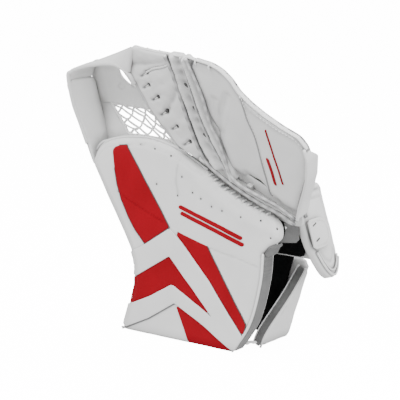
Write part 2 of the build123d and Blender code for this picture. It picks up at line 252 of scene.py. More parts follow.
@dataclass(frozen=True)
class LeatherFinish:
    """Coated synthetic leather: fine pebbled grain, faint creases and handling marks, with painted shade
    darkening its creases and crevices.
    """

    name: str
    colour: tuple[float, float, float]
    shade: tuple[float, float, float]
    roughness: float = 0.42
    grain: float = 1500.0
    crease: float = 0.35
    gloss: float = 0.3
    # How strongly painted shade darkens the colour in creases.
    painted_crease_shade: float = 0.9
    mark_level: float = 0.71
    mark_share: float = 0.35
    # Reach of the painted shade in crevices, in metres.
    painted_occlusion_reach: float = 0.016

    def build(self) -> bpy.types.Material:
        """Makes the material."""
        nodes = Nodes(self.name)
        patches = nodes.noise(14.0, 3.0)
        colour = nodes.ramp(patches, 0.35, 0.7, self.shade, self.colour)
        marks = nodes.math("GREATER_THAN", nodes.noise(95.0, 6.0, 0.7), self.mark_level)
        worn = tuple(0.82 * c for c in self.shade)
        colour = nodes.mix("MIX", nodes.math("MULTIPLY", marks, self.mark_share), colour, worn)
        # Painted shade: the colour darkens towards a dull grey in creases, by the stored crease depth.
        hollow = nodes.add("ShaderNodeAttribute", attribute_name="hollow").outputs["Fac"]
        colour = nodes.mix("MULTIPLY", nodes.math("MULTIPLY", hollow, self.painted_crease_shade), colour, (0.25, 0.25, 0.26))
        # Painted shade: an ambient-occlusion node darkens the colour in crevices and seams.
        painted_occlusion = nodes.add("ShaderNodeAmbientOcclusion", samples=6, in_Distance=self.painted_occlusion_reach)
        shaded = nodes.ramp(painted_occlusion.outputs["AO"], 0.15, 0.95, (0.42,) * 3, (1.0,) * 3)
        colour = nodes.mix("MULTIPLY", 1.0, colour, shaded)
        nodes.join(colour, nodes.shader.inputs["Base Color"])
        cells = nodes.add("ShaderNodeTexVoronoi", in_Scale=self.grain, feature="F1")
        nodes.join(nodes.place, cells.inputs["Vector"])
        rough = nodes.ramp(nodes.noise(40.0), 0.3, 0.75, (self.roughness - 0.06,) * 3,
                           (self.roughness + 0.1,) * 3)
        nodes.join(rough, nodes.shader.inputs["Roughness"])
        nodes.bump(nodes.noise(120.0, 5.0, 0.6), self.crease, 0.0006)
        nodes.bump(cells.outputs["Distance"], 0.18, 0.00025)
        nodes.shader.inputs["Specular IOR Level"].default_value = self.gloss
        return nodes.material


@dataclass(frozen=True)
class KnitFinish:
    """Fine knitted or woven cloth in one colour, with ribs and a soft sheen."""

    name: str
    colour: tuple[float, float, float]
    shade: tuple[float, float, float]
    rib: float = 700.0
    sheen: float = 0.25
    roughness: float = 0.85
    gloss: float = 0.35

    def build(self) -> bpy.types.Material:
        """Makes the material."""
        nodes = Nodes(self.name)
        ribs = []
        for axis in ("X", "Z"):
            wave = nodes.add("ShaderNodeTexWave", bands_direction=axis, in_Scale=self.rib, in_Distortion=0.4)
            nodes.join(nodes.place, wave.inputs["Vector"])
            ribs.append(wave.outputs["Fac"])
        weave = nodes.math("MULTIPLY", ribs[0], ribs[1])
        colour = nodes.ramp(nodes.noise(60.0), 0.3, 0.75, self.shade, self.colour)
        colour = nodes.mix("MULTIPLY", 0.3, colour, nodes.ramp(weave, 0.0, 0.6, (0.55,) * 3, (1.0,) * 3))
        nodes.join(colour, nodes.shader.inputs["Base Color"])
        nodes.bump(weave, 0.5, 0.0003)
        nodes.shader.inputs["Roughness"].default_value = self.roughness
        nodes.shader.inputs["Sheen Weight"].default_value = self.sheen
        nodes.shader.inputs["Specular IOR Level"].default_value = self.gloss
        return nodes.material


@dataclass(frozen=True)
class LaceFinish:
    """Waxed braided lace: a diagonal braid that follows the lace."""

    name: str
    colour: tuple[float, float, float]
    shade: tuple[float, float, float]

    def build(self) -> bpy.types.Material:
        """Makes the material."""
        nodes = Nodes(self.name)
        wave = nodes.add("ShaderNodeTexWave", bands_direction="DIAGONAL", in_Scale=420.0, in_Distortion=1.0)
        nodes.join(nodes.place, wave.inputs["Vector"])
        colour = nodes.ramp(wave.outputs["Fac"], 0.1, 0.7, self.shade, self.colour)
        nodes.join(colour, nodes.shader.inputs["Base Color"])
        nodes.bump(wave.outputs["Fac"], 0.35, 0.0003)
        nodes.shader.inputs["Roughness"].default_value = 0.6
        return nodes.material


@dataclass(frozen=True)
class PlainFinish:
    """Foam, sheet plastic or enamel: one colour with a fine mottled surface."""

    name: str
    colour: tuple[float, float, float]
    roughness: float
    cell: float = 800.0

    def build(self) -> bpy.types.Material:
        """Makes the material."""
        nodes = Nodes(self.name)
        shade = tuple(0.85 * c for c in self.colour)
        colour = nodes.ramp(nodes.noise(self.cell), 0.35, 0.65, shade, self.colour)
        nodes.join(colour, nodes.shader.inputs["Base Color"])
        nodes.bump(nodes.noise(self.cell), 0.2, 0.0002)
        nodes.shader.inputs["Roughness"].default_value = self.roughness
        return nodes.material


FINISHES = {
    Slot.WHITE: LeatherFinish("white_leather", (0.87, 0.87, 0.865), (0.81, 0.81, 0.805)),
    Slot.RED: LeatherFinish("red_leather", (0.33, 0.001, 0.010), (0.27, 0.001, 0.007), 0.5, gloss=0.10),
    Slot.GREY: KnitFinish("grey_knit", (0.20, 0.20, 0.20), (0.14, 0.14, 0.14)),
    Slot.BLACK: KnitFinish("black_lining", (0.012, 0.012, 0.0125), (0.006, 0.006, 0.0064), sheen=0.0,
                           gloss=0.06),
    Slot.LACE: LaceFinish("white_lace", (0.92, 0.92, 0.91), (0.78, 0.78, 0.77)),
    Slot.EYELET: PlainFinish("dark_eyelet", (0.06, 0.06, 0.06), 0.6),
    Slot.HOOK: PlainFinish("hook_and_loop", (0.62, 0.62, 0.62), 0.95, 1600.0),
}
MATERIALS: dict[Slot, bpy.types.Material] = {}


def finish_of(slot: Slot) -> bpy.types.Material:
    """The material of a slot, made the first time it is asked for."""
    if slot not in MATERIALS:
        MATERIALS[slot] = FINISHES[slot].build()
    return MATERIALS[slot]


# ---- The workbench: operators that every piece is made with -----------------------------------
def deselect() -> None:
    """Leaves edit mode and deselects everything."""
    if bpy.context.object and bpy.context.object.mode != "OBJECT":
        bpy.ops.object.mode_set(mode="OBJECT")
    bpy.ops.object.select_all(action="DESELECT")


def activate(piece: bpy.types.Object) -> None:
    """Makes a piece the only selected and the active object."""
    deselect()
    piece.select_set(True)
    bpy.context.view_layer.objects.active = piece


def apply_modifier(piece: bpy.types.Object, kind: str, **settings: object) -> None:
    """Adds a modifier to a piece and applies it.

    Args:
        piece: The mesh object.
        kind: The modifier's type.
        settings: Its properties.
    """
    activate(piece)
    modifier = piece.modifiers.new(kind.title(), kind)
    for key, value in settings.items():
        setattr(modifier, key, value)
    bpy.ops.object.modifier_apply(modifier=modifier.name)


def vertices(piece: bpy.types.Object) -> Points:
    """The piece's vertices as an array of n rows."""
    flat = np.zeros(len(piece.data.vertices) * 3)
    piece.data.vertices.foreach_get("co", flat)
    return flat.reshape(-1, 3)


def set_vertices(piece: bpy.types.Object, places: Points) -> None:
    """Moves the piece's vertices."""
    piece.data.vertices.foreach_set("co", np.asarray(places, float).ravel())
    piece.data.update()


def edge_ends(piece: bpy.types.Object) -> Points:
    """The vertex pairs of all the piece's edges."""
    ends = np.zeros(len(piece.data.edges) * 2, int)
    piece.data.edges.foreach_get("vertices", ends)
    return ends.reshape(-1, 2)


def select_vertices(piece: bpy.types.Object, chosen: Points) -> None:
    """Selects the marked vertices of a piece, and nothing else in it."""
    piece.data.polygons.foreach_set("select", np.zeros(len(piece.data.polygons), bool))
    piece.data.edges.foreach_set("select", np.zeros(len(piece.data.edges), bool))
    piece.data.vertices.foreach_set("select", chosen)


def rim_edges(piece: bpy.types.Object) -> Points:
    """The vertex pairs of the edges that bound an open mesh."""
    mesh = piece.data
    loops = np.zeros(len(mesh.loops), int)
    mesh.loops.foreach_get("edge_index", loops)
    uses = np.bincount(loops, minlength=len(mesh.edges))
    return edge_ends(piece)[uses == 1]


def smooth_shade(piece: bpy.types.Object, angle: float = SHARP_ANGLE) -> None:
    """Shades a piece smooth, with sharp edges where faces meet at more than angle degrees."""
    activate(piece)
    bpy.ops.object.shade_smooth_by_angle(angle=math.radians(angle))


def outward(piece: bpy.types.Object) -> None:
    """Merges doubled vertices and turns every face outwards."""
    activate(piece)
    bpy.ops.object.mode_set(mode="EDIT")
    bpy.ops.mesh.select_all(action="SELECT")
    bpy.ops.mesh.remove_doubles(threshold=0.005)
    bpy.ops.mesh.normals_make_consistent(inside=False)
    bpy.ops.object.mode_set(mode="OBJECT")


def row(*values: float) -> Points:
    """An array of numbers."""
    return np.array(values, float)


def pairs(*values: float) -> Points:
    """Points of a plane, from their coordinates in turn."""
    return row(*values).reshape(-1, 2)


def at_depth(line: Points, depth: float) -> Points:
    """A line of (x, z) as points in space, all at one depth."""
    return np.column_stack([line[:, 0], np.full(len(line), depth), line[:, 1]])


def unit(rows: Points) -> Points:
    """The same directions, each one unit long."""
    return rows / np.linalg.norm(rows, axis=1)[:, None]


def safe_unit(rows: Points) -> Points:
    """The same directions, each one unit long, where a row of zeros stays as it is."""
    return rows / np.maximum(np.linalg.norm(rows, axis=1), TINY)[:, None]


def left_of(line: Points) -> Points:
    """The direction to the left of a flat line, at each of its points."""
    along = np.gradient(line, axis=0)
    return unit(np.stack([-along[:, 1], along[:, 0]], 1))


def distances(line: Points) -> Points:
    """How far along a line each of its points lies."""
    return np.concatenate([[0], np.cumsum(np.linalg.norm(np.diff(line, axis=0), axis=1))])


def read_at(places: Points, run: Points, values: Points) -> Points:
    """The rows of values at places along a line whose points lie at the distances run."""
    return np.stack([np.interp(places, run, values[:, k]) for k in range(values.shape[1])], 1)


def shrunk(outline: Points, share: float) -> Points:
    """The outline drawn in towards its middle."""
    return outline.mean(0) + (outline - outline.mean(0)) * share


def to_metres(piece: bpy.types.Object) -> None:
    """Closes a piece's seams, turns its faces outwards and brings it to metres."""
    outward(piece)
    set_vertices(piece, vertices(piece) * MM)


def sampled(points: Sequence[Sequence[float]], spacing: float, closed: bool = False,
            smooth: bool = True) -> Points:
    """Evenly spaced points along a smooth or straight-sided line through the given ones.

    Args:
        points: The points that the line passes through.
        spacing: Distance between samples.
        closed: Whether the line returns to its start.
        smooth: Whether the line bends smoothly between points.

    Returns:
        The samples, one row each.
    """
    given = np.asarray(points, float)
    if closed:
        given = np.vstack([given, given[:1]])
    dense = given
    if smooth and len(given) > 2:
        before = np.vstack([given[-2] if closed else 2 * given[0] - given[1], given[:-1]])
        after = np.vstack([given[1:], given[1] if closed else 2 * given[-1] - given[-2]])
        slope = (after - before) / 2
        share = np.linspace(0, 1, CURVE_STEPS, endpoint=False)[:, None]
        rows = []
        for start, end, out, back in zip(given[:-1], given[1:], slope[:-1], slope[1:]):
            rows.append((2 * share**3 - 3 * share**2 + 1) * start + (share**3 - 2 * share**2 + share) * out
                        + (3 * share**2 - 2 * share**3) * end + (share**3 - share**2) * back)
        dense = np.vstack([*rows, given[-1:]])
    run = distances(dense)
    count = max(int(round(run[-1] / spacing)), 3)
    places = np.linspace(0, run[-1], count + 1)
    if closed:
        places = places[:-1]
    return read_at(places, run, dense)


def nearest_on_line(x: Points, y: Points, line: Points, closed: bool) -> tuple[Points, Points]:
    """The nearest points of a line in the plane.

    Args:
        x: First coordinates of the points asked about.
        y: Second coordinates.
        line: The line's points, one row each.
        closed: Whether the line returns to its start.

    Returns:
        The distances, and the nearest points, one row each.
    """
    start = line if closed else line[:-1]
    end = np.roll(line, -1, 0) if closed else line[1:]
    run = end - start
    length = np.maximum((run**2).sum(1), 1e-12)
    best = np.full(x.shape, FAR)
    near = np.zeros(x.shape + (2,))
    for first, step, size in zip(start, run, length):
        share = np.clip(((x - first[0]) * step[0] + (y - first[1]) * step[1]) / size, 0, 1)
        nx, ny = first[0] + share * step[0], first[1] + share * step[1]
        away = (x - nx) ** 2 + (y - ny) ** 2
        closer = away < best
        best = np.where(closer, away, best)
        near[closer] = np.stack([nx, ny], -1)[closer]
    return np.sqrt(best), near


def inside(x: Points, y: Points, outline: Points) -> Points:
    """Whether each point lies inside a closed outline."""
    result = np.zeros(x.shape, bool)
    for (x0, y0), (x1, y1) in zip(outline, np.roll(outline, -1, 0)):
        crosses = (y0 > y) != (y1 > y)
        if y1 != y0:
            result ^= crosses & (x < (x1 - x0) * (y - y0) / (y1 - y0) + x0)
    return result


def groove(x: Points, y: Points, line: Points, width: float, depth: float, closed: bool = False) -> Points:
    """The height of a stitched groove along a line: deepest on it, and back to nothing at both sides."""
    away, _ = nearest_on_line(x, y, line, closed)
    return -depth * np.exp(-((away / width) ** 2))


def dress(piece: bpy.types.Object, slot: Slot, replaced: Sequence[str] = (),
          angle: float = SHARP_ANGLE) -> bpy.types.Object:
    """Shades a piece smooth, stores its crease depths for painted shade, gives it its finish and slot, and
    hides the CAD nodes that it stands for.

    Args:
        piece: The mesh object, in metres.
        slot: Its material slot.
        replaced: The CAD nodes that it stands for.
        angle: Edges sharper than this stay sharp.

    Returns:
        The piece.
    """
    smooth_shade(piece, angle)
    mark_painted_crease_shade(piece)
    piece.data.materials.clear()
    piece.data.materials.append(finish_of(slot))
    if replaced:
        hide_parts(*replaced)
    LOG.info("%s: %d faces", piece.name, len(piece.data.polygons))
    return piece


def mark_painted_crease_shade(piece: bpy.types.Object) -> None:
    """Stores how deep in a crease each vertex lies, from 0 to 1, for the finishes to darken as painted shade.
    """
    mesh, places = piece.data, vertices(piece)
    normals = np.zeros(len(places) * 3)
    mesh.vertices.foreach_get("normal", normals)
    normals = normals.reshape(-1, 3)
    ends = edge_ends(piece)
    step = places[ends[:, 1]] - places[ends[:, 0]]
    count = np.maximum(np.bincount(ends.ravel(), minlength=len(places)), 1)
    pull, reach = np.zeros(len(places)), np.zeros(len(places))
    size = np.linalg.norm(step, axis=1)
    for column, sign in ((0, 1), (1, -1)):
        np.add.at(pull, ends[:, column], sign * (step * normals[ends[:, column]]).sum(1))
        np.add.at(reach, ends[:, column], size)
    bend = pull / np.maximum(reach, TINY)
    for _ in range(HOLLOW_ROUNDS):
        total = np.zeros(len(places))
        np.add.at(total, ends[:, 0], bend[ends[:, 1]])
        np.add.at(total, ends[:, 1], bend[ends[:, 0]])
        bend = 0.5 * bend + 0.5 * total / count
    hollow = mesh.attributes.new("hollow", "FLOAT", "POINT")
    hollow.data.foreach_set("value", np.clip((bend - HOLLOW_START) * HOLLOW_GAIN, 0, 1).astype(np.float32))


def finish_piece(piece: bpy.types.Object, body: Body, slot: Slot, replaced: Sequence[str] = (),
                 angle: float = SHARP_ANGLE) -> bpy.types.Object:
    """Brings a piece to metres, dresses it and lets it ride on its body.

    Args:
        piece: The mesh object, in millimetres.
        body: The CAD body that it moves with.
        slot: Its material slot.
        replaced: The CAD nodes that it stands for.
        angle: Edges sharper than this stay sharp.

    Returns:
        The finished piece.
    """
    to_metres(piece)
    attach(piece, body.value)
    return dress(piece, slot, replaced, angle)


def stuffed(piece: bpy.types.Object, frame: tuple[Points, Points, Points], outline: Points,
            seams: Sequence[Points],
            cap: float = 4.0, voxel: float = 3.2) -> bpy.types.Object:
    """Swells a sewn pad with a short cloth simulation, held at its rim and along its sewn channels.

    Args:
        piece: The pad's closed mesh, in millimetres, a little thinner than it ends.
        frame: An origin and two directions that lie along the pad.
        outline: The pad's outline in that frame.
        seams: The sewn lines in that frame.
        cap: The furthest that a point may move.
        voxel: The size of the remeshed faces.

    Returns:
        The swollen pad, back in millimetres.
    """
    to_metres(piece)
    apply_modifier(piece, "REMESH", mode="VOXEL", voxel_size=voxel * MM)
    before = vertices(piece)
    origin, first, second = frame
    flat = before / MM - origin
    x, y = flat @ first, flat @ second
    held = np.exp(-((nearest_on_line(x, y, outline, True)[0] / SEWN_WIDTH) ** 2))
    for seam in seams:
        held = np.maximum(held, np.exp(-((nearest_on_line(x, y, seam, False)[0] / SEWN_WIDTH) ** 2)))
    group = piece.vertex_groups.new(name="sewn")
    for index in np.flatnonzero(held > 0.1):
        group.add([int(index)], float(held[index]), "REPLACE")
    cloth = piece.modifiers.new("Cloth", "CLOTH")
    cloth.settings.use_pressure = True
    cloth.settings.uniform_pressure_force = STUFFING_PRESSURE
    cloth.settings.effector_weights.gravity = 0.0
    cloth.settings.vertex_group_mass = "sewn"
    cloth.point_cache.frame_end = STUFFING_FRAMES
    for step in range(1, STUFFING_FRAMES + 1):
        bpy.context.scene.frame_set(step)
    activate(piece)
    bpy.ops.object.modifier_apply(modifier=cloth.name)
    bpy.context.scene.frame_set(1)
    move = vertices(piece) - before
    size = np.maximum(np.linalg.norm(move, axis=1), TINY)
    move *= (cap * MM * np.tanh(size / (cap * MM)) / size)[:, None]
    set_vertices(piece, before + move)
    LOG.debug("%s swelled by up to %.1f mm", piece.name, np.linalg.norm(move, axis=1).max() / MM)
    piece.vertex_groups.clear()
    apply_modifier(piece, "SMOOTH", factor=0.5, iterations=2)
    apply_modifier(piece, "SUBSURF", levels=1, render_levels=1)
    set_vertices(piece, vertices(piece) / MM)
    return piece


def bend_between(piece: bpy.types.Object, first: Body, second: Body, start: Points, end: Points) -> None:
    """Brings a piece to metres and bakes its transform in place; the bodies and the start and end points are
    not used.
    """
    to_metres(piece)
    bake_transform(piece)


def resampled(line: Points, count: int) -> Points:
    """The same line with count evenly spaced points."""
    run = distances(line)
    return read_at(np.linspace(0, run[-1], count), run, line)


def lifted(surface: Surface, x: Points, y: Points, height: Points) -> Points:
    """Points at a height above a surface, along its normal.

    Args:
        surface: The surface as a function of two coordinates.
        x: First coordinates.
        y: Second coordinates.
        height: Height above the surface.

    Returns:
        The points, one row each.
    """
    step = 0.5
    base = surface(x, y)
    normal = safe_unit(np.cross(surface(x + step, y) - surface(x - step, y),
                                surface(x, y + step) - surface(x, y - step)))
    return base + normal * height[:, None]


@dataclass
class Panel:
    """A padded or flat leather panel: a trimmed sheet with a rolled rim, laid on a surface."""

    name: str
    outline: Points
    surface: Surface
    thickness: float
    rim: float
    step: float = 2.2
    relief: Relief | None = None
    back_relief: Relief | None = None
    rim_rings: int = 4

    def build(self) -> bpy.types.Object:
        """Makes the closed mesh in millimetres."""
        low, high = self.outline.min(0), self.outline.max(0)
        count = np.maximum(((high - low) / self.step).astype(int), 3)
        deselect()
        bpy.ops.mesh.primitive_grid_add(x_subdivisions=int(count[0]), y_subdivisions=int(count[1]), size=1)
        piece = bpy.context.object
        piece.name = self.name
        flat = vertices(piece)
        flat[:, :2] = low + (flat[:, :2] + 0.5) * (high - low)
        set_vertices(piece, flat)
        self._trim(piece)
        self._roll_rim(piece)
        apply_modifier(piece, "MIRROR", use_axis=(False, False, True), merge_threshold=0.004)
        self._lay(piece)
        return piece

    def _trim(self, piece: bpy.types.Object) -> None:
        """Cuts the sheet to the outline, one rim's width inside it."""
        flat = vertices(piece)
        away, _ = nearest_on_line(flat[:, 0], flat[:, 1], self.outline, True)
        keep = inside(flat[:, 0], flat[:, 1], self.outline) & (away > self.rim + 0.2 * self.step)
        select_vertices(piece, ~keep)
        activate(piece)
        bpy.ops.object.mode_set(mode="EDIT")
        bpy.ops.mesh.select_mode(type="VERT")
        bpy.ops.mesh.delete(type="VERT")
        bpy.ops.mesh.select_all(action="SELECT")
        bpy.ops.mesh.delete_loose()
        bpy.ops.object.mode_set(mode="OBJECT")
        for _ in range(3):
            flat = vertices(piece)
            edge = np.unique(rim_edges(piece))
            away, near = nearest_on_line(flat[edge, 0], flat[edge, 1], self.outline, True)
            direction = (flat[edge, :2] - near) / np.maximum(away, 1e-6)[:, None]
            flat[edge, :2] = near + direction * self.rim
            set_vertices(piece, self._relaxed(piece, flat, edge))

    def _relaxed(self, piece: bpy.types.Object, flat: Points, fixed: Points) -> Points:
        """Evens out the vertices beside the trimmed edge, which itself only slides a little."""
        ends = edge_ends(piece)
        total, count = np.zeros_like(flat), np.zeros(len(flat))
        for a, b in ((0, 1), (1, 0)):
            np.add.at(total, ends[:, a], flat[ends[:, b]])
            np.add.at(count, ends[:, a], 1)
        mean = total / np.maximum(count, 1)[:, None]
        share = np.full(len(flat), 0.5)
        share[fixed] = 0.0
        return flat + (mean - flat) * share[:, None]

    def _roll_rim(self, piece: bpy.types.Object) -> None:
        """Extrudes the trimmed edge outwards and down, in a quarter round, to the middle of the thickness."""
        half = self.thickness / 2
        flat = vertices(piece)
        flat[:, 2] = half
        set_vertices(piece, flat)
        drop = min(self.rim, half)
        turns = [math.pi / 2 * (k + 1) / self.rim_rings for k in range(self.rim_rings)]
        stations = [(math.sin(t), half - drop * (1 - math.cos(t))) for t in turns]
        if half > drop + 0.01:
            stations.append((1.0, 0.0))
        for out, height in stations:
            self._extrude(piece)
            new = np.zeros(len(piece.data.vertices), bool)
            piece.data.vertices.foreach_get("select", new)
            flat = vertices(piece)
            away, near = nearest_on_line(flat[new, 0], flat[new, 1], self.outline, True)
            direction = np.where(away[:, None] > 1e-5,
                                 (flat[new, :2] - near) / np.maximum(away, 1e-6)[:, None], 0)
            flat[new, :2] = near + direction * self.rim * (1 - out)
            flat[new, 2] = height
            set_vertices(piece, flat)

    @staticmethod
    def _extrude(piece: bpy.types.Object) -> None:
        """Extrudes the bounding edges in place and leaves the new vertices selected."""
        activate(piece)
        bpy.ops.object.mode_set(mode="EDIT")
        bpy.ops.mesh.select_mode(type="EDGE")
        bpy.ops.mesh.select_all(action="DESELECT")
        bpy.ops.mesh.select_non_manifold(use_wire=False, use_boundary=True, use_multi_face=False,
                                         use_non_contiguous=False, use_verts=False)
        bpy.ops.mesh.extrude_edges_move()
        bpy.ops.mesh.select_mode(type="VERT")
        bpy.ops.object.mode_set(mode="OBJECT")

    def _lay(self, piece: bpy.types.Object) -> None:
        """Adds the relief and lays the flat panel on its surface."""
        flat = vertices(piece)
        half = self.thickness / 2
        x, y, height = flat[:, 0], flat[:, 1], flat[:, 2].copy()
        top = np.clip(height / half, 0, 1)
        under = np.clip(-height / half, 0, 1)
        if self.relief:
            height += top * self.relief(x, y)
        if self.back_relief:
            height -= under * self.back_relief(x, y)
        set_vertices(piece, lifted(self.surface, x, y, height))


def tube(name: str, path: Points, radius: float | Sequence[float], sides: int = 10) -> bpy.types.Object:
    """A round lace, roll or piping along a path, in millimetres, with rounded ends.

    Args:
        name: The piece's name.
        path: The points of its centre line, one row each.
        radius: Its radius, or one for each point.
        sides: Corners of its section.

    Returns:
        The mesh object.
    """
    path = np.asarray(path, float)
    radii = np.full(len(path), radius) if np.isscalar(radius) else np.asarray(radius, float)
    deselect()
    bpy.ops.mesh.primitive_circle_add(vertices=sides, radius=1, fill_type="NOTHING")
    piece = bpy.context.object
    piece.name = name
    tangent = safe_unit(np.gradient(path, axis=0))
    side = np.cross(tangent[0], [0.3, 0.5, 0.8])
    side /= np.linalg.norm(side)
    frames = []
    for direction in tangent:
        side = side - direction * (side @ direction)
        side /= np.linalg.norm(side)
        frames.append((side, np.cross(direction, side)))
    angle = np.arange(sides) * 2 * math.pi / sides
    stations = list(range(len(path)))
    sizes = [1.0] * len(path)
    places = list(path)
    for share, out in END_RINGS[::-1]:
        places.insert(0, path[0] - tangent[0] * radii[0] * out)
        sizes.insert(0, share)
    for share, out in END_RINGS:
        places.append(path[-1] + tangent[-1] * radii[-1] * out)
        sizes.append(share)
    stations = [0] * len(END_RINGS) + stations + [len(path) - 1] * len(END_RINGS)
    rings = []
    for place, index, size in zip(places, stations, sizes):
        first, second = frames[index]
        circle = np.cos(angle)[:, None] * first + np.sin(angle)[:, None] * second
        rings.append(place + circle * radii[index] * max(size, SMALLEST_END))
    skin_rings(piece, rings)
    return piece


def ring_faces(count: int, sides: int, base: int = 0) -> list[tuple[int, ...]]:
    """The faces between count rings of points, and the two that close their ends.

    Args:
        count: How many rings there are.
        sides: Points in each ring.
        base: The number of the first ring's first point.

    Returns:
        The faces as tuples of point numbers.
    """
    faces = []
    for start in range(base, base + (count - 1) * sides, sides):
        for k in range(sides):
            n = (k + 1) % sides
            faces.append((start + k, start + n, start + sides + n, start + sides + k))
    last = base + (count - 1) * sides
    return [*faces, tuple(range(base, base + sides))[::-1], tuple(range(last, last + sides))]


def skin_rings(piece: bpy.types.Object, rings: Sequence[Points]) -> None:
    """Replaces a ring of edges with the closed skin over the given rings of points."""
    mesh = bpy.data.meshes.new(piece.name)
    mesh.from_pydata([tuple(p) for p in np.vstack(rings)], [], ring_faces(len(rings), len(rings[0])))
    old = piece.data
    piece.data = mesh
    bpy.data.meshes.remove(old)


def joined(name: str, pieces: Sequence[bpy.types.Object]) -> bpy.types.Object:
    """Joins several meshes into one piece."""
    activate(pieces[0])
    for other in pieces[1:]:
        other.select_set(True)
    if len(pieces) > 1:
        bpy.ops.object.join()
    piece = bpy.context.object
    piece.name = name
    return piece


# ---- Surfaces that panels are laid on ---------------------------------------------------------
def plane_surface(origin: Points, first: Points, second: Points) -> Surface:
    """A flat surface, whose front is on the side of first x second.

    Args:
        origin: The point at (0, 0).
        first: Unit direction of the first coordinate.
        second: Unit direction of the second coordinate.

    Returns:
        The surface.
    """
    return lambda x, y: origin + np.outer(x, first) + np.outer(y, second)


def ribbon_surface(path: Points, across: Points) -> tuple[Surface, float]:
    """A surface swept along a path: (distance along it, distance across it).

    Args:
        path: The points of its first edge.
        across: The unit direction across it, one for all or one for each point.

    Returns:
        The surface and the path's length.
    """
    path = np.asarray(path, float)
    across = np.broadcast_to(across, path.shape)
    run = distances(path)
    first, last = (path[1] - path[0]) / run[1], (path[-1] - path[-2]) / (run[-1] - run[-2])

    def surface(x: Points, y: Points) -> Points:
        """The point at x along the path and y across it."""
        base = read_at(x, run, path)
        base += np.outer(np.minimum(x, 0), first) + np.outer(np.maximum(x - run[-1], 0), last)
        return base + read_at(x, run, across) * y[:, None]

    return surface, float(run[-1])


def loft_surface(first: Points, second: Points, bulge: float = 0.0) -> tuple[Surface, float, float]:
    """A surface stretched between two edges.

    Args:
        first: The points of its first edge.
        second: The points of its second edge, as many as the first.
        bulge: How far its middle stands off a straight stretch.

    Returns:
        The surface, its length along the edges and its width across them.
    """
    middle = (first + second) / 2
    run = distances(middle)
    width = float(np.linalg.norm(second - first, axis=1).mean())
    along = np.gradient(middle, axis=0)
    normal = safe_unit(np.cross(along, second - first))

    def surface(x: Points, y: Points) -> Points:
        """The point at x along the edges and y across from the first."""
        share = (y / width)[:, None]
        one, two, out = (read_at(x, run, edge) for edge in (first, second, normal))
        crown = 4 * share * (1 - share) * bulge
        return one * (1 - share) + two * share + out * crown

    return surface, float(run[-1]), width


def rectangle(x0: float, x1: float, y0: float, y1: float, corner: float = 0.0) -> Points:
    """The outline of a rectangle, with round corners where corner is above nothing."""
    points = []
    for x, y, start in ((x1, y0, -90), (x1, y1, 0), (x0, y1, 90), (x0, y0, 180)):
        if corner <= 0:
            points.append((x, y))
            continue
        middle = (x + (corner if x == x0 else -corner), y + (corner if y == y0 else -corner))
        for turn in np.radians(np.linspace(start, start + 90, 7)):
            points.append((middle[0] + corner * math.cos(turn), middle[1] + corner * math.sin(turn)))
    return pairs(*np.ravel(points))


def rounded(points: Outline, corner: float, steps: int = 5) -> Points:
    """An outline of straight sides whose corners are rounded by up to corner millimetres."""
    given = np.asarray(points, float)
    result = []
    for before, here, after in zip(np.roll(given, 1, 0), given, np.roll(given, -1, 0)):
        one, two = before - here, after - here
        cut = min(corner, 0.45 * np.linalg.norm(one), 0.45 * np.linalg.norm(two))
        start, end = here + one / np.linalg.norm(one) * cut, here + two / np.linalg.norm(two) * cut
        for share in np.linspace(0, 1, steps):
            result.append((1 - share) ** 2 * start + 2 * share * (1 - share) * here + share**2 * end)
    return np.array(result)


def bands(outline: Points, spacing: float = 3.0) -> Points:
    """The same closed outline with points no further apart than spacing."""
    return sampled(outline, spacing, closed=True, smooth=False)


def waves(x: Points, y: Points, size: float, length: float, seed: int) -> Points:
    """Gentle unevenness of soft leather: a fixed sum of slanted waves.

    Args:
        x: First coordinates.
        y: Second coordinates.
        size: Height of the unevenness.
        length: Length of the longest wave.
        seed: Picks the waves.

    Returns:
        The heights.
    """
    draw = np.random.default_rng(seed)
    total = np.zeros_like(x)
    for index in range(7):
        turn, shift = draw.uniform(0, math.tau, 2)
        reach = length / (1 + 0.45 * index)
        along = x * math.cos(turn) + y * math.sin(turn)
        total += np.sin(along * math.tau / reach + shift) / (1 + 0.5 * index)
    return total * size / 3


def uneven(size: float, length: float, seed: int) -> Relief:
    """A relief that is nothing but the unevenness of soft leather."""
    return lambda x, y: waves(x, y, size, length, seed)


def dimples(x: Points, y: Points, places: Outline, depth: float, radius: float) -> Points:
    """Round dimples at the given places."""
    total = np.zeros_like(x)
    for px, py in places:
        total -= depth * np.exp(-((x - px) ** 2 + (y - py) ** 2) / radius**2)
    return total


def on_surface(surface: Surface, line: Points, height: float = 0.0) -> Points:
    """The points of a flat line laid on a surface, height above it."""
    line = np.asarray(line, float)
    return lifted(surface, line[:, 0], line[:, 1], np.full(len(line), height))


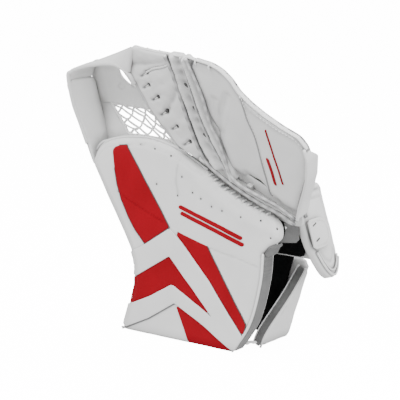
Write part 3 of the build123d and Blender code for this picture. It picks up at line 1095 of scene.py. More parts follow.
def stitches(name: str, path: Points, length: float = 3.0, gap: float = 1.6,
             thick: float = 0.42) -> bpy.types.Object:
    """A row of sewn stitches along a path, each a small capsule, in millimetres.

    Args:
        name: The piece's name.
        path: The line's points, on the leather.
        length: Length of one stitch.
        gap: Space between stitches.
        thick: Radius of the thread.

    Returns:
        The mesh object.
    """
    path = sampled(path, STITCH_STEP, smooth=False)
    step = max(int(round((length + gap) / STITCH_STEP)), 2)
    reach = max(int(round(length / STITCH_STEP)), 1)
    angle = np.arange(THREAD_SIDES) * math.tau / THREAD_SIDES
    points, faces = [], []
    for index in range(0, len(path) - reach, step):
        start, end = path[index], path[index + reach]
        along = (end - start) / max(np.linalg.norm(end - start), TINY)
        side = np.cross(along, row(0.31, 0.52, 0.79))
        side /= np.linalg.norm(side)
        up = np.cross(along, side)
        base = len(points)
        for share, size in CAPSULE_RINGS:
            centre = start + (end - start) * share
            circle = np.cos(angle)[:, None] * side + np.sin(angle)[:, None] * up
            points.extend(centre + circle * thick * size)
        faces.extend(ring_faces(len(CAPSULE_RINGS), THREAD_SIDES, base))
    mesh = bpy.data.meshes.new(name)
    mesh.from_pydata([tuple(p) for p in points], [], faces)
    piece = bpy.data.objects.new(name, mesh)
    bpy.context.scene.collection.objects.link(piece)
    return piece


def ball(name: str, place: Points, size: Points, sides: int = 12) -> bpy.types.Object:
    """A small rounded knot or button, in millimetres."""
    deselect()
    bpy.ops.mesh.primitive_uv_sphere_add(segments=sides, ring_count=max(sides // 2, 4), radius=1)
    piece = bpy.context.object
    piece.name = name
    set_vertices(piece, vertices(piece) * size + place)
    return piece


# ---- Camera, light and floor -----------------------------------------------------------------
@dataclass
class Studio:
    """The plain pale floor, the soft light and the camera."""

    azimuth: float = 37.0
    elevation: float = 12.0
    distance: float = 2.2
    target: tuple[float, float, float] = (0.0338, 0.0076, 0.1824)
    scale: float = 800.0
    frame_width: float = 400.0
    sensor: float = 36.0
    surround: float = 0.98
    lamp_target: tuple[float, float, float] = (0.03, 0.0, 0.18)
    lamps: tuple[tuple[str, tuple[float, float, float], float, float], ...] = (
        ("key", (-0.1, -1.4, 1.7), 0.7, 33.0),
        ("fill", (1.8, -0.5, 0.8), 0.8, 26.0),
        ("top", (0.3, 0.7, 1.9), 0.9, 20.0))
    floor_size: float = 12.0
    floor_drop: float = 0.0005
    floor_glow: float = 14.0

    def camera(self) -> bpy.types.Object:
        """Makes the camera and sets it as the scene's."""
        data = bpy.data.cameras.new("camera")
        data.sensor_width = self.sensor
        data.lens = self.scale * self.distance / self.frame_width * self.sensor
        camera = bpy.data.objects.new("camera", data)
        bpy.context.scene.collection.objects.link(camera)
        a, e = math.radians(self.azimuth), math.radians(self.elevation)
        back = Vector((math.sin(a) * math.cos(e), -math.cos(a) * math.cos(e), math.sin(e)))
        camera.location = Vector(self.target) + back * self.distance
        camera.rotation_euler = back.to_track_quat("Z", "Y").to_euler()
        bpy.context.scene.camera = camera
        return camera

    def light(self) -> None:
        """Adds a bright even surround and three soft area lights."""
        world = bpy.data.worlds.new("studio")
        world.use_nodes = True
        world.node_tree.nodes["Background"].inputs[0].default_value = (1.0, 1.0, 1.0, 1.0)
        world.node_tree.nodes["Background"].inputs[1].default_value = self.surround
        bpy.context.scene.world = world
        for name, place, size, power in self.lamps:
            data = bpy.data.lights.new(name, "AREA")
            data.size = size
            data.energy = power
            lamp = bpy.data.objects.new(name, data)
            lamp.location = place
            away = Vector(place) - Vector(self.lamp_target)
            lamp.rotation_euler = away.to_track_quat("Z", "Y").to_euler()
            bpy.context.scene.collection.objects.link(lamp)

    def floor(self) -> None:
        """Lays a wide pale floor."""
        deselect()
        bpy.ops.mesh.primitive_plane_add(size=self.floor_size, location=(0, 0, -self.floor_drop))
        floor = bpy.context.object
        floor.name = "floor"
        nodes = Nodes("pale_floor")
        nodes.shader.inputs["Base Color"].default_value = (0.93, 0.93, 0.93, 1.0)
        nodes.shader.inputs["Roughness"].default_value = 0.9
        nodes.shader.inputs["Emission Color"].default_value = (1.0, 1.0, 1.0, 1.0)
        nodes.shader.inputs["Emission Strength"].default_value = self.floor_glow
        floor.data.materials.append(nodes.material)
        floor.visible_diffuse = False
        floor.visible_glossy = False

    def build(self) -> None:
        """Sets up the camera, the light and the floor."""
        self.camera()
        self.light()
        self.floor()


# ---- Thumb and cuff pad ----------------------------------------------------------------------
FRONT = (row(1, 0, 0), row(0, 0, 1))
BACK = (row(-1, 0, 0), row(0, 0, 1))


def facing(y: float) -> Surface:
    """A surface facing the shooter at depth y, read as (x, z)."""
    return plane_surface(row(0, y, 0), *FRONT)


@dataclass
class ThumbCuffPad:
    """The one-piece thumb and cuff pad with its colour panels, edges, eyelets and lacing."""

    front: float = -11.0
    depth: float = 19.5
    lining: float = 2.4
    rim: float = 3.2
    roll: float = 10.0
    heel_roll: float = 8.0
    binding_width: float = 7.5
    base: tuple[float, float] = (-84.0, 96.0)
    cuff_edge: Outline = ((96, 0), (123, 41), (138, 93), (142, 131))
    heel: Outline = ((142, 131), (151, 141), (161, 149))
    heel_corner: Outline = ((161, 149), (165, 154), (166, 163), (163, 172), (155, 179))
    break_edge: Outline = ((155, 179), (136, 184), (106, 194), (77, 208), (52, 224))
    crotch: Outline = ((52, 224), (17, 241), (-8, 249), (-40, 254), (-73, 252))
    tip: Outline = ((-73, 252), (-92, 248.5), (-109, 242), (-120, 233), (-126.5, 222), (-129, 212))
    thumb_edge: Outline = ((-129, 212), (-107, 174), (-82, 133), (-65, 100), (-62, 77), (-68, 47), (-84, 0))
    scallop: float = 2.2
    scallop_pitch: float = 9.5
    thumb_red: Outline = ((-92, 235), (-88, 239.5), (-81, 242), (-68, 244), (-18, 173), (0, 146), (-40, 119),
                          (-55, 134), (-67, 151), (-78, 172), (-85, 191), (-89, 212))
    diagonal_red: Outline = ((3, 145), (59, 130), (92, 80), (119, 39), (114, 23), (64, 84), (20, 130))
    chevron_red: Outline = ((0, 112), (-63, 74), (-68, 34), (-34, 48), (4, 70), (36, 53), (74, 33), (27, 84))
    hem_red: Outline = ((8, 50), (56, 27.5), (99, 5), (92, 1.2), (29, 1.2))
    white_band: Outline = (
        (-64.5, 106), (-40, 118.5), (0, 145), (20, 130), (64, 84), (114, 23), (101, 2), (92, 5), (56, 26),
        (33, 37), (8, 49), (-34, 22.5), (-80, 0.5), (-70, 36), (-66, 36), (-32, 52), (4, 73), (36, 56.5),
        (67, 40),
        (27, 81.5), (0, 109), (-61, 71), (-62.5, 88))
    seams: Sequence[Outline] = (((61, 128), (84, 124), (107, 121), (137, 114)),)
    thumb_seam: Outline = ((-84, 181), (-50, 166), (-8, 150))
    eyelets: Outline = ((-47, 246), (-24, 243), (1, 237), (19, 213), (-21, 199), (12, 188), (36, 195),
                        (49, 189),
                        (65, 181), (81, 178), (110, 174), (139, 173), (162, 166), (154, 154))

    def break_line(self, spacing: float = 1.0) -> Points:
        """The smooth line of the pad's edge at the break."""
        return sampled(self.break_edge, spacing)

    def scalloped_break(self) -> Points:
        """The break edge with the small scallops that the lacing pulls into it."""
        line = self.break_line()
        out = left_of(line)
        out *= np.sign(out[:, 1])[:, None]
        run = np.arange(len(line))
        swing = self.scallop * (np.abs(np.sin(run * math.pi / self.scallop_pitch)) - 0.6)
        return line + out * swing[:, None]

    def outline(self) -> Points:
        """The pad's whole outline, counter-clockwise from the cuff's thumb corner."""
        parts = [sampled(((self.base[0], 0), (self.base[1], 0)), 3.0, smooth=False),
                 sampled(self.cuff_edge, 3.0), sampled(self.heel, 2.0), sampled(self.heel_corner, 2.0),
                 self.scalloped_break(), sampled(self.crotch, 2.0), sampled(self.tip, 2.0),
                 sampled(self.thumb_edge, 3.0)]
        return np.vstack([part[:-1] for part in parts])

    def heel_line(self) -> Points:
        """The rounded heel between the cuff's edge and the break."""
        return np.vstack([sampled(self.heel, 2.0)[:-1], sampled(self.heel_corner, 2.0)])

    def soft_edge(self) -> Points:
        """The line round which the leather rolls back: the thumb's edge, tip and arch."""
        return np.vstack([sampled(self.crotch, 2.0)[:-1], sampled(self.tip, 2.0)[:-1],
                          sampled(self.thumb_edge, 2.0)])

    def relief(self, x: Points, z: Points) -> Points:
        """The pad's front: rolled edge, dimples, seams, puckers by the lacing and soft unevenness."""
        away, _ = nearest_on_line(x, z, self.soft_edge(), False)
        short = np.clip(self.roll - away, 0, self.roll)
        height = np.sqrt(np.maximum(self.roll**2 - short**2, 0)) - self.roll
        height += groove(x, z, self.soft_edge_inset(), 1.8, 1.5)
        heel, _ = nearest_on_line(x, z, self.heel_line(), False)
        short = np.clip(self.heel_roll - heel, 0, self.heel_roll)
        height += np.sqrt(np.maximum(self.heel_roll**2 - short**2, 0)) - self.heel_roll
        height += dimples(x, z, self.eyelets, 0.9, 3.0)
        for seam in (*self.seams, self.thumb_seam):
            height += groove(x, z, sampled(seam, 2.0), 1.3, 0.5)
        line = self.break_line()
        near, at = nearest_on_line(x, z, line, False)
        run = np.interp(at[..., 0], line[::-1, 0], np.arange(len(line))[::-1])
        pull = np.abs(np.cos(run * math.pi / self.scallop_pitch))
        fade = np.exp(-(near / 9.0) ** 2)
        height -= fade * (1.2 + 1.6 * pull)
        height += 0.9 * np.exp(-((near - 17.0) / 8.0) ** 2)
        height += groove(x, z, pairs(17, 240, 11, 222, 9, 205, 12, 192), 2.2, 1.0)
        height += waves(x, z, 0.7, 95.0, 4)
        return height

    def soft_edge_inset(self) -> Points:
        """The sewn line a binding's width inside the arch and the thumb's edge."""
        line = self.soft_edge()
        return line + left_of(line) * self.binding_width

    def top(self) -> Surface:
        """The pad's front surface with its relief, for what is laid on it."""
        flat = facing(self.front)
        return lambda x, z: flat(x, z) + np.outer(self.relief(x, z), row(0, -1, 0))

    def build(self) -> None:
        """Builds every piece of the pad."""
        pad = Panel("thumb_cuff_leather", bands(self.outline(), 2.0), facing(self.front + self.depth / 2),
                    self.depth, self.rim, 1.9, self.relief, self.back_relief).build()
        finish_piece(pad, Body.CUFF, Slot.WHITE, ("front_skin", "front_foam", "front_board"))
        inner = self.outline()
        middle = inner.mean(0)
        inner = middle + (inner - middle) * 0.965
        lining = Panel("palm_side_lining", bands(inner, 4.0),
                       facing(self.front + self.depth + self.lining / 2 + 0.1),
                       self.lining, 1.0, 4.5).build()
        finish_piece(lining, Body.CUFF, Slot.BLACK, ("front_lining",))
        self.colour_panels()
        self.edges()
        self.lacing()

    def back_relief(self, x: Points, z: Points) -> Points:
        """The pad's back, rounded along the thumb's edge as the front is."""
        away, _ = nearest_on_line(x, z, self.soft_edge(), False)
        short = np.clip(self.roll - away, 0, self.roll)
        heel, _ = nearest_on_line(x, z, self.heel_line(), False)
        taper = np.clip(1 - heel / 22.0, 0, 1) ** 1.5 * 8.5
        return (np.sqrt(np.maximum(self.roll**2 - short**2, 0)) - self.roll) * 0.9 - taper

    def colour_panels(self) -> None:
        """The red leather panels, and the white band that laps over their edges, with dark edge lines that
        are partly painted shadow.
        """
        top = self.top()
        for name, outline, thick in (("thumb", self.thumb_red, 1.2), ("diagonal", self.diagonal_red, 1.3),
                                     ("chevron", self.chevron_red, 0.9), ("hem", self.hem_red, 1.0)):
            panel = Panel(f"{name}_red_panel", bands(rounded(outline, 2.0)), top, thick, 0.45, 2.0)
            finish_piece(panel.build(), Body.CUFF, Slot.RED, (f"{name}_inlay",))
        band = Panel("white_overlay_band", bands(rounded(self.white_band, 1.5)), top, 3.8, 0.8, 2.0)
        finish_piece(band.build(), Body.CUFF, Slot.WHITE)
        # Dark cords along the red panels' edges: partly the dark cut edge of the leather, partly painted
        # shadow along the raised edges.
        cords = []
        for line, height in ((self.thumb_red[2:9], 0.5), (self.diagonal_red[1:6], 0.5),
                             (self.hem_red[:2], 0.4),
                             (self.chevron_red[:2], 0.5), (self.chevron_red[4:7], 0.4),
                             (self.thumb_red[8:], 0.5)):
            flat = sampled(line, 2.0, smooth=False)
            cords.append(tube("edge", on_surface(top, flat, height), 0.6, 6))
        finish_piece(joined("panel_edge_cut_and_shadow_line", cords), Body.CUFF, Slot.EYELET)
        # A grey cord under the overlay band's lower edge: a painted shadow line below the lapped edge.
        ridge = sampled(self.white_band[10:13], 2.0, smooth=False) + row(0.2, -0.7)
        finish_piece(tube("band_lap_shadow_line", on_surface(top, ridge, 0.5), 0.7, 8), Body.CUFF, Slot.GREY)
        rows = []
        for index, line in enumerate((self.thumb_red[:6], self.diagonal_red[1:4])):
            flat = sampled(line, 2.0, smooth=False)
            rows.append(stitches(f"row{index}", on_surface(top, flat + row(1.8, 0.8), 0.1)))
        rows.append(stitches("band_top", on_surface(top, sampled(self.white_band[:3], 2.0,
                                                                 smooth=False) - row(0, 2.6), 1.6)))
        rows.append(stitches("band_low", on_surface(top, sampled(self.white_band[9:12], 2.0,
                                                                 smooth=False) + row(0, 2.6), 1.6)))
        for seam in self.seams:
            rows.append(stitches("seam_row", on_surface(top, sampled(seam, 2.0) + row(0, 1.8), 0.1)))
        finish_piece(joined("panel_stitching", rows), Body.CUFF, Slot.LACE)
        sewn = stitches("thumb_panel_stitching",
                        on_surface(top, sampled(self.thumb_seam, 2.0) + row(0, 1.6), 0.5))
        finish_piece(sewn, Body.CUFF, Slot.RED)
        for index, drop in enumerate((0.0, -8.0)):
            stripe = pairs(13, 173.2, 17, 177.4, 114, 149.2, 110, 144.6) + row(2.6 * index, drop)
            panel = Panel(f"cuff_stripe_{index + 1}", bands(rounded(stripe, 0.8)), top, 1.5, 0.5, 0.7)
            finish_piece(panel.build(), Body.CUFF, Slot.RED)

    def edges(self) -> None:
        """The rolled arch binding, the knit band down the cuff's edge and its white piping."""
        arch = np.vstack([sampled(self.crotch, 2.0)[:-1], sampled(self.tip, 2.0)])
        stitch_line = self.soft_edge_inset()
        stitch_line = stitch_line[stitch_line[:, 1] > 196]
        sewn = stitches("arch_stitching", on_surface(self.top(), stitch_line[4:-4], 0.25))
        finish_piece(sewn, Body.CUFF, Slot.LACE)
        rim = tube("arch_piping", np.column_stack([arch[:, 0], np.full(len(arch), -0.6), arch[:, 1] + 0.4]),
                   1.7, 10)
        finish_piece(rim, Body.CUFF, Slot.WHITE, ("thumb_rim_binding",))
        side = sampled(self.cuff_edge, 2.0)
        path = at_depth(side, -8.6)
        along = np.gradient(path, axis=0)
        out = unit(np.cross(along, row(0, 1, 0)))
        out *= np.sign(out[:, 0])[:, None]
        surface, length = ribbon_surface(path + out * 1.1, row(0, 1, 0))
        band = Panel("cuff_edge_knit", bands(rectangle(2.4, length - 0.5, -1.0, 19.4, 2.0)), surface, 2.4,
                     1.0, 2.5,
                     lambda s, t: 0.35 * np.sin(s * 0.9) * 0.2 + waves(s, t, 0.5, 40.0, 9))
        finish_piece(band.build(), Body.CUFF, Slot.GREY, ("front_edge_binding",))
        front = path[1:] + out[1:] * 0.9 + row(0, -2.0, 0.6)
        finish_piece(tube("cuff_edge_piping", front, 1.7, 10), Body.CUFF, Slot.WHITE)
        back = path[1:] + out[1:] * 0.9 + row(0, 19.2, 0.6)
        finish_piece(tube("cuff_edge_back_piping", back, 1.3, 10), Body.CUFF, Slot.WHITE)
        hem = sampled(((self.base[0] + 4, 2.2), (self.base[1] - 3, 2.2)), 3.0, smooth=False)
        finish_piece(tube("hem_piping", at_depth(hem, -9.4), 1.4, 10),
                     Body.CUFF, Slot.WHITE)

    def lacing(self) -> None:
        """Punched eyelets, and the lace that goes over the edge at the break."""
        top = self.top()
        rings = []
        for index, place in enumerate(self.eyelets):
            spot = on_surface(top, row(*place)[None, :])[0]
            rings.append(ball(f"eyelet{index}", spot + row(0, 0.25, 0), row(1.7, 0.7, 1.7), 12))
        finish_piece(joined("punched_eyelets", rings), Body.CUFF, Slot.EYELET, ("front_eyelets",))
        line = self.break_line()
        out = left_of(line)
        out *= np.sign(out[:, 1])[:, None]
        loops = []
        pitch = self.scallop_pitch
        for index in range(int((len(line) - 4) / pitch)):
            at = int((index + 0.5) * pitch + pitch / 2)
            if at >= len(line):
                continue
            spot, away = line[at], out[at]
            path = [(*(spot - away * 2.0), self.front + 4.6), (*(spot - away * 0.9), self.front + 3.6),
                    (*(spot + away * 0.1), self.front + 4.2), (*(spot + away * 0.7), self.front + 6.5),
                    (*(spot + away * 0.4), self.front + 10.0)]
            path = sampled([(x, y, z) for x, z, y in path], 1.2)
            loops.append(tube(f"loop{index}", path, 1.5, 8))
        finish_piece(joined("break_lace_loops", loops), Body.CUFF, Slot.LACE, ("break_lacing",))


# ---- Cuff: walls, edge of the wrist gap, lining and its lace ----------------------------------
@dataclass
class Cuff:
    """The padded walls behind the pad: thumb side, back and the flared little-finger panel."""

    back: float = 94.0
    wall: float = 12.0
    pad_back: float = 11.0
    thumb_edge: Outline = ((-76, 120), (-65, 100), (-62, 77), (-68, 47), (-84, 0))
    back_height: float = 108.0
    channel_heights: tuple[float, float] = (36.0, 72.0)
    flare: float = 18.4
    foot: float = 113.0
    panel_front: Outline = ((29, 0), (34, 22), (64, 64), (82, 100))

    @property
    def inner_back(self) -> float:
        """Depth of the back wall's inner face."""
        return self.back - self.wall

    def flared(self, out: float = 0.0) -> Surface:
        """The little-finger panel's plane, read as (y, distance up it), moved out from its outer face."""
        lean = math.radians(self.flare)
        up, normal = row(math.sin(lean), 0, math.cos(lean)), row(math.cos(lean), 0, -math.sin(lean))
        return plane_surface(row(self.foot, 0, 0) + normal * out, row(0, 1, 0), up)

    def build(self) -> None:
        """Builds every piece of the cuff."""
        edge = sampled(self.thumb_edge[::-1], 3.0)
        path = at_depth(edge, self.pad_back)
        along = np.gradient(path, axis=0)
        out = unit(np.cross(row(0, 1, 0), along))
        out *= -np.sign(out[:, 0])[:, None]
        surface, length = ribbon_surface(path - out * self.wall / 2, row(0, 1, 0))
        width = self.inner_back - self.pad_back
        side = Panel("cuff_thumb_side", bands(rectangle(2.8, length, -2.0, width + 8, 3.0)), surface,
                     self.wall, 4.0, 3.2,
                     lambda s, t: waves(s, t, 0.6, 80.0, 12) + groove(s, t, pairs(0, 10, 140, 10), 2.0, 0.9))
        finish_piece(side.build(), Body.CUFF, Slot.WHITE, ("cuff_thumb_wall",))
        self.back_wall()
        self.little_finger_panel()
        self.lining()

    def back_wall(self) -> None:
        """The wall over the back of the wrist, with sewn channels."""
        lean = math.tan(math.radians(self.flare)) * self.back_height
        left = sampled(self.thumb_edge, 4.0)
        outline = np.vstack([left,
                             pairs(self.foot, 0, self.foot + lean, self.back_height, 30, self.back_height)])

        def quilting(x: Points, z: Points) -> Points:
            """Sewn channels across the wall, and soft unevenness."""
            total = waves(x, z, 0.8, 90.0, 21)
            for height in self.channel_heights:
                total += groove(x, z, pairs(-90, height, 160, height), 2.6, 2.0)
            return total

        middle = (row(0, self.back - self.wall / 2, 0), *BACK)
        outside = plane_surface(*middle)
        flipped = outline * row(-1, 1)
        thin = self.wall - 3.0
        piece = Panel("cuff_back", bands(flipped), outside, thin, 4.0, 3.0, quilting).build()
        channels = [pairs(-118, height, 84, height) for height in self.channel_heights]
        piece = stuffed(piece, middle, bands(flipped), channels, 3.5, 3.6)
        finish_piece(piece, Body.CUFF, Slot.WHITE, ("cuff_back_wall",))
        rows = []
        for height in self.channel_heights:
            line = sampled(((-105, height), (68, height)), 3.0, smooth=False)
            rows.append(stitches(f"channel{height:.0f}", on_surface(outside, line, thin / 2 - 1.6)))
        finish_piece(joined("cuff_back_stitching", rows), Body.CUFF, Slot.LACE)

    def little_finger_panel(self) -> None:
        """The white flared panel and the knit binding on its front edge, piped on both sides."""
        depth = self.inner_back
        outline = rounded((*self.panel_front, (depth + 9, 100), (depth + 9, 0.5)), 2.0)
        middle = self.flared(-self.wall / 2)
        panel = Panel("little_finger_panel", bands(outline), middle, self.wall, 3.0, 2.4,
                      uneven(0.6, 60.0, 31)).build()
        finish_piece(panel, Body.CUFF, Slot.WHITE, ("cuff_pinky_panel",))
        line = sampled(self.panel_front, 2.0)
        out = left_of(line)
        edge = line + out * 1.2
        lean = math.radians(self.flare)
        normal = row(math.cos(lean), 0, -math.sin(lean))
        path = on_surface(self.flared(-self.wall + 1.0), edge)
        surface, length = ribbon_surface(path, normal)
        knit = Panel("wrist_gap_knit", bands(rectangle(0.2, length, 0.0, self.wall - 1.4, 1.5)), surface, 2.4,
                     1.0, 2.4,
                     uneven(0.5, 30.0, 5))
        finish_piece(knit.build(), Body.CUFF, Slot.GREY, ("pinky_edge_binding",))
        for name, off in (("wrist_gap_inner_piping", -self.wall + 0.6), ("wrist_gap_outer_piping", 0.1)):
            finish_piece(tube(name, on_surface(self.flared(off), line + out * 1.0), 1.5, 10), Body.CUFF,
                         Slot.WHITE)
        seam = sampled(((41, 22), (70, 62), (86, 92)), 2.0, smooth=False)
        sewn = stitches("little_finger_stitching", on_surface(self.flared(0), seam, 0.2))
        finish_piece(sewn, Body.CUFF, Slot.LACE)

    def lining(self) -> None:
        """The black lining of the hand space, its folds, and the lace knot at the hem."""
        inner = plane_surface(row(0, self.inner_back - 1.1, 0), *FRONT)

        def folds(x: Points, z: Points) -> Points:
            """Upright folds of slack cloth."""
            return 1.1 * np.sin(x * 0.22 + 0.8 * np.sin(z * 0.05)) + waves(x, z, 1.0, 60.0, 41)

        back = Panel("wrist_lining", bands(rounded(((-50, 3), (94, 3), (128, 112), (-50, 112)), 3.0)), inner,
                     2.2, 0.8,
                     3.0, folds)
        finish_piece(back.build(), Body.CUFF, Slot.BLACK, ("cuff_lining",))
        side = Panel("side_lining", bands(rounded(((33, 3), (38, 24), (67, 64), (82, 94), (82, 3)), 2.0)),
                     self.flared(-self.wall - 1.2), 2.0, 0.8, 3.0, lambda y, s: folds(s, y))
        finish_piece(side.build(), Body.CUFF, Slot.BLACK)
        knot = sampled([(98.5, 9.5, 8), (101, 15, 7), (104, 20, 7.5), (107, 26, 6)], 1.0)
        parts = [tube("lace", knot, 2.0, 10), ball("lace_knot", row(101.5, 15.5, 7.2), row(3.6, 3.2, 3.0))]
        finish_piece(joined("cuff_hem_lace", parts), Body.CUFF, Slot.LACE, ("cuff_lace",))
        button = ball("hem_button", row(105.5, 95.2, 5.0), row(2.6, 1.6, 2.6))
        finish_piece(button, Body.CUFF, Slot.EYELET)


# ---- Inside the hand, and the wrist strap ----------------------------------------------------
@dataclass
class HandSpace:
    """The palm pad, the thumb stall and the strap that closes the wrist gap."""

    pad_back: float = 11.0
    palm: Outline = ((-40, 120), (120, 112), (140, 150), (120, 172), (0, 200), (-40, 190))
    palm_depth: float = 3.6
    stall: tuple[float, float] = (-108.0, -60.0)
    stall_low: float = 176.0
    stall_top: float = 226.0
    room: float = 24.0
    cover_depth: float = 6.0

    def build(self) -> None:
        """Builds every piece inside the hand."""
        palm = Panel("palm_pad_cushion", bands(rounded(self.palm, 14.0)),
                     facing(self.pad_back + 0.2 + self.palm_depth / 2), self.palm_depth, 1.7, 3.2,
                     None, uneven(0.4, 70.0, 51))
        piece = finish_piece(palm.build(), Body.CUFF, Slot.BLACK, ("palm_pad",))
        left, right = self.stall
        line = rounded(((left + 2, self.stall_low), (left + 2, self.stall_top - 2),
                        (right - 2, self.stall_top - 2),
                        (right - 2, self.stall_low)), 12.0, 7)[5:-5]
        line = sampled(np.vstack([(left + 2, self.stall_low), line, (right - 2, self.stall_low)]), 2.0,
                       smooth=False)
        path = at_depth(line, self.pad_back + 0.3)
        surface, length = ribbon_surface(path, row(0, 1, 0))
        wall = Panel("thumb_stall_wall", bands(rectangle(0, length, 0, self.room - 0.6)), surface, 3.6, 1.4,
                     2.6)
        finish_piece(wall.build(), Body.CUFF, Slot.BLACK, ("thumb_stall_sides",))
        outline = rounded(((left, 172), (right, 160), (right, self.stall_top), (left, self.stall_top)), 13.0)
        middle = (row(0, self.pad_back + self.room + self.cover_depth / 2, 0), *BACK)
        flipped = outline * row(-1, 1)

        inset = shrunk(flipped, 0.72)

        def quilted(x: Points, z: Points) -> Points:
            """A sewn border inside the cover's edge."""
            return groove(x, z, inset, 1.6, 1.1, True) + waves(x, z, 0.4, 40.0, 53)

        cover = Panel("thumb_back_pad", bands(flipped), plane_surface(*middle), self.cover_depth - 1.4, 2.2,
                      2.2, quilted).build()
        cover = stuffed(cover, middle, bands(flipped), [np.vstack([inset, inset[:1]])], 2.2, 2.6)
        piece = finish_piece(cover, Body.CUFF, Slot.WHITE, ("thumb_back_cover",))

    def strap(self) -> None:
        """The grey strap across the wrist gap, its keeper lace and the folded tab at its foot."""
        path = sampled(((142.5, 12.4, 143.0), (150.5, 12.6, 143.0), (158, 17.0, 143.0), (171.5, 26.0, 143.0)),
                       1.0)
        surface, length = ribbon_surface(path, row(0, 0, 1))
        strap = Panel("wrist_gap_strap", bands(rectangle(0.3, length - 0.3, 0.5, 25.5, 2.0)), surface, 2.6,
                      1.1, 1.8,
                      uneven(0.5, 25.0, 61))
        finish_piece(strap.build(), Body.CUFF, Slot.GREY, ("wrist_strap",))
        loop = sampled(((148, 10.4, 139), (150, 9.0, 146), (152, 9.4, 154), (155, 11.0, 160),
                        (159, 13.4, 163)), 1.0)
        second = sampled(((146, 9.8, 135), (141, 7.0, 140), (140, 4.0, 148)), 1.0)
        pieces = [tube("loop", loop, 1.7, 10), tube("tail", second, 1.7, 10)]
        finish_piece(joined("strap_keeper_lace", pieces), Body.CUFF, Slot.LACE)
        tab_path = sampled(((143.6, -9.5, 128), (148.8, -9.2, 138), (155, -8.8, 143.5)), 1.5)
        across, reach = ribbon_surface(tab_path, row(0.35, 0.93, 0.1))
        tab = Panel("folded_edge_tab", bands(rectangle(0, reach, 0, 19.0, 2.5)), across, 2.6, 1.2, 1.8,
                    uneven(0.6, 18.0, 63))
        finish_piece(tab.build(), Body.CUFF, Slot.GREY)


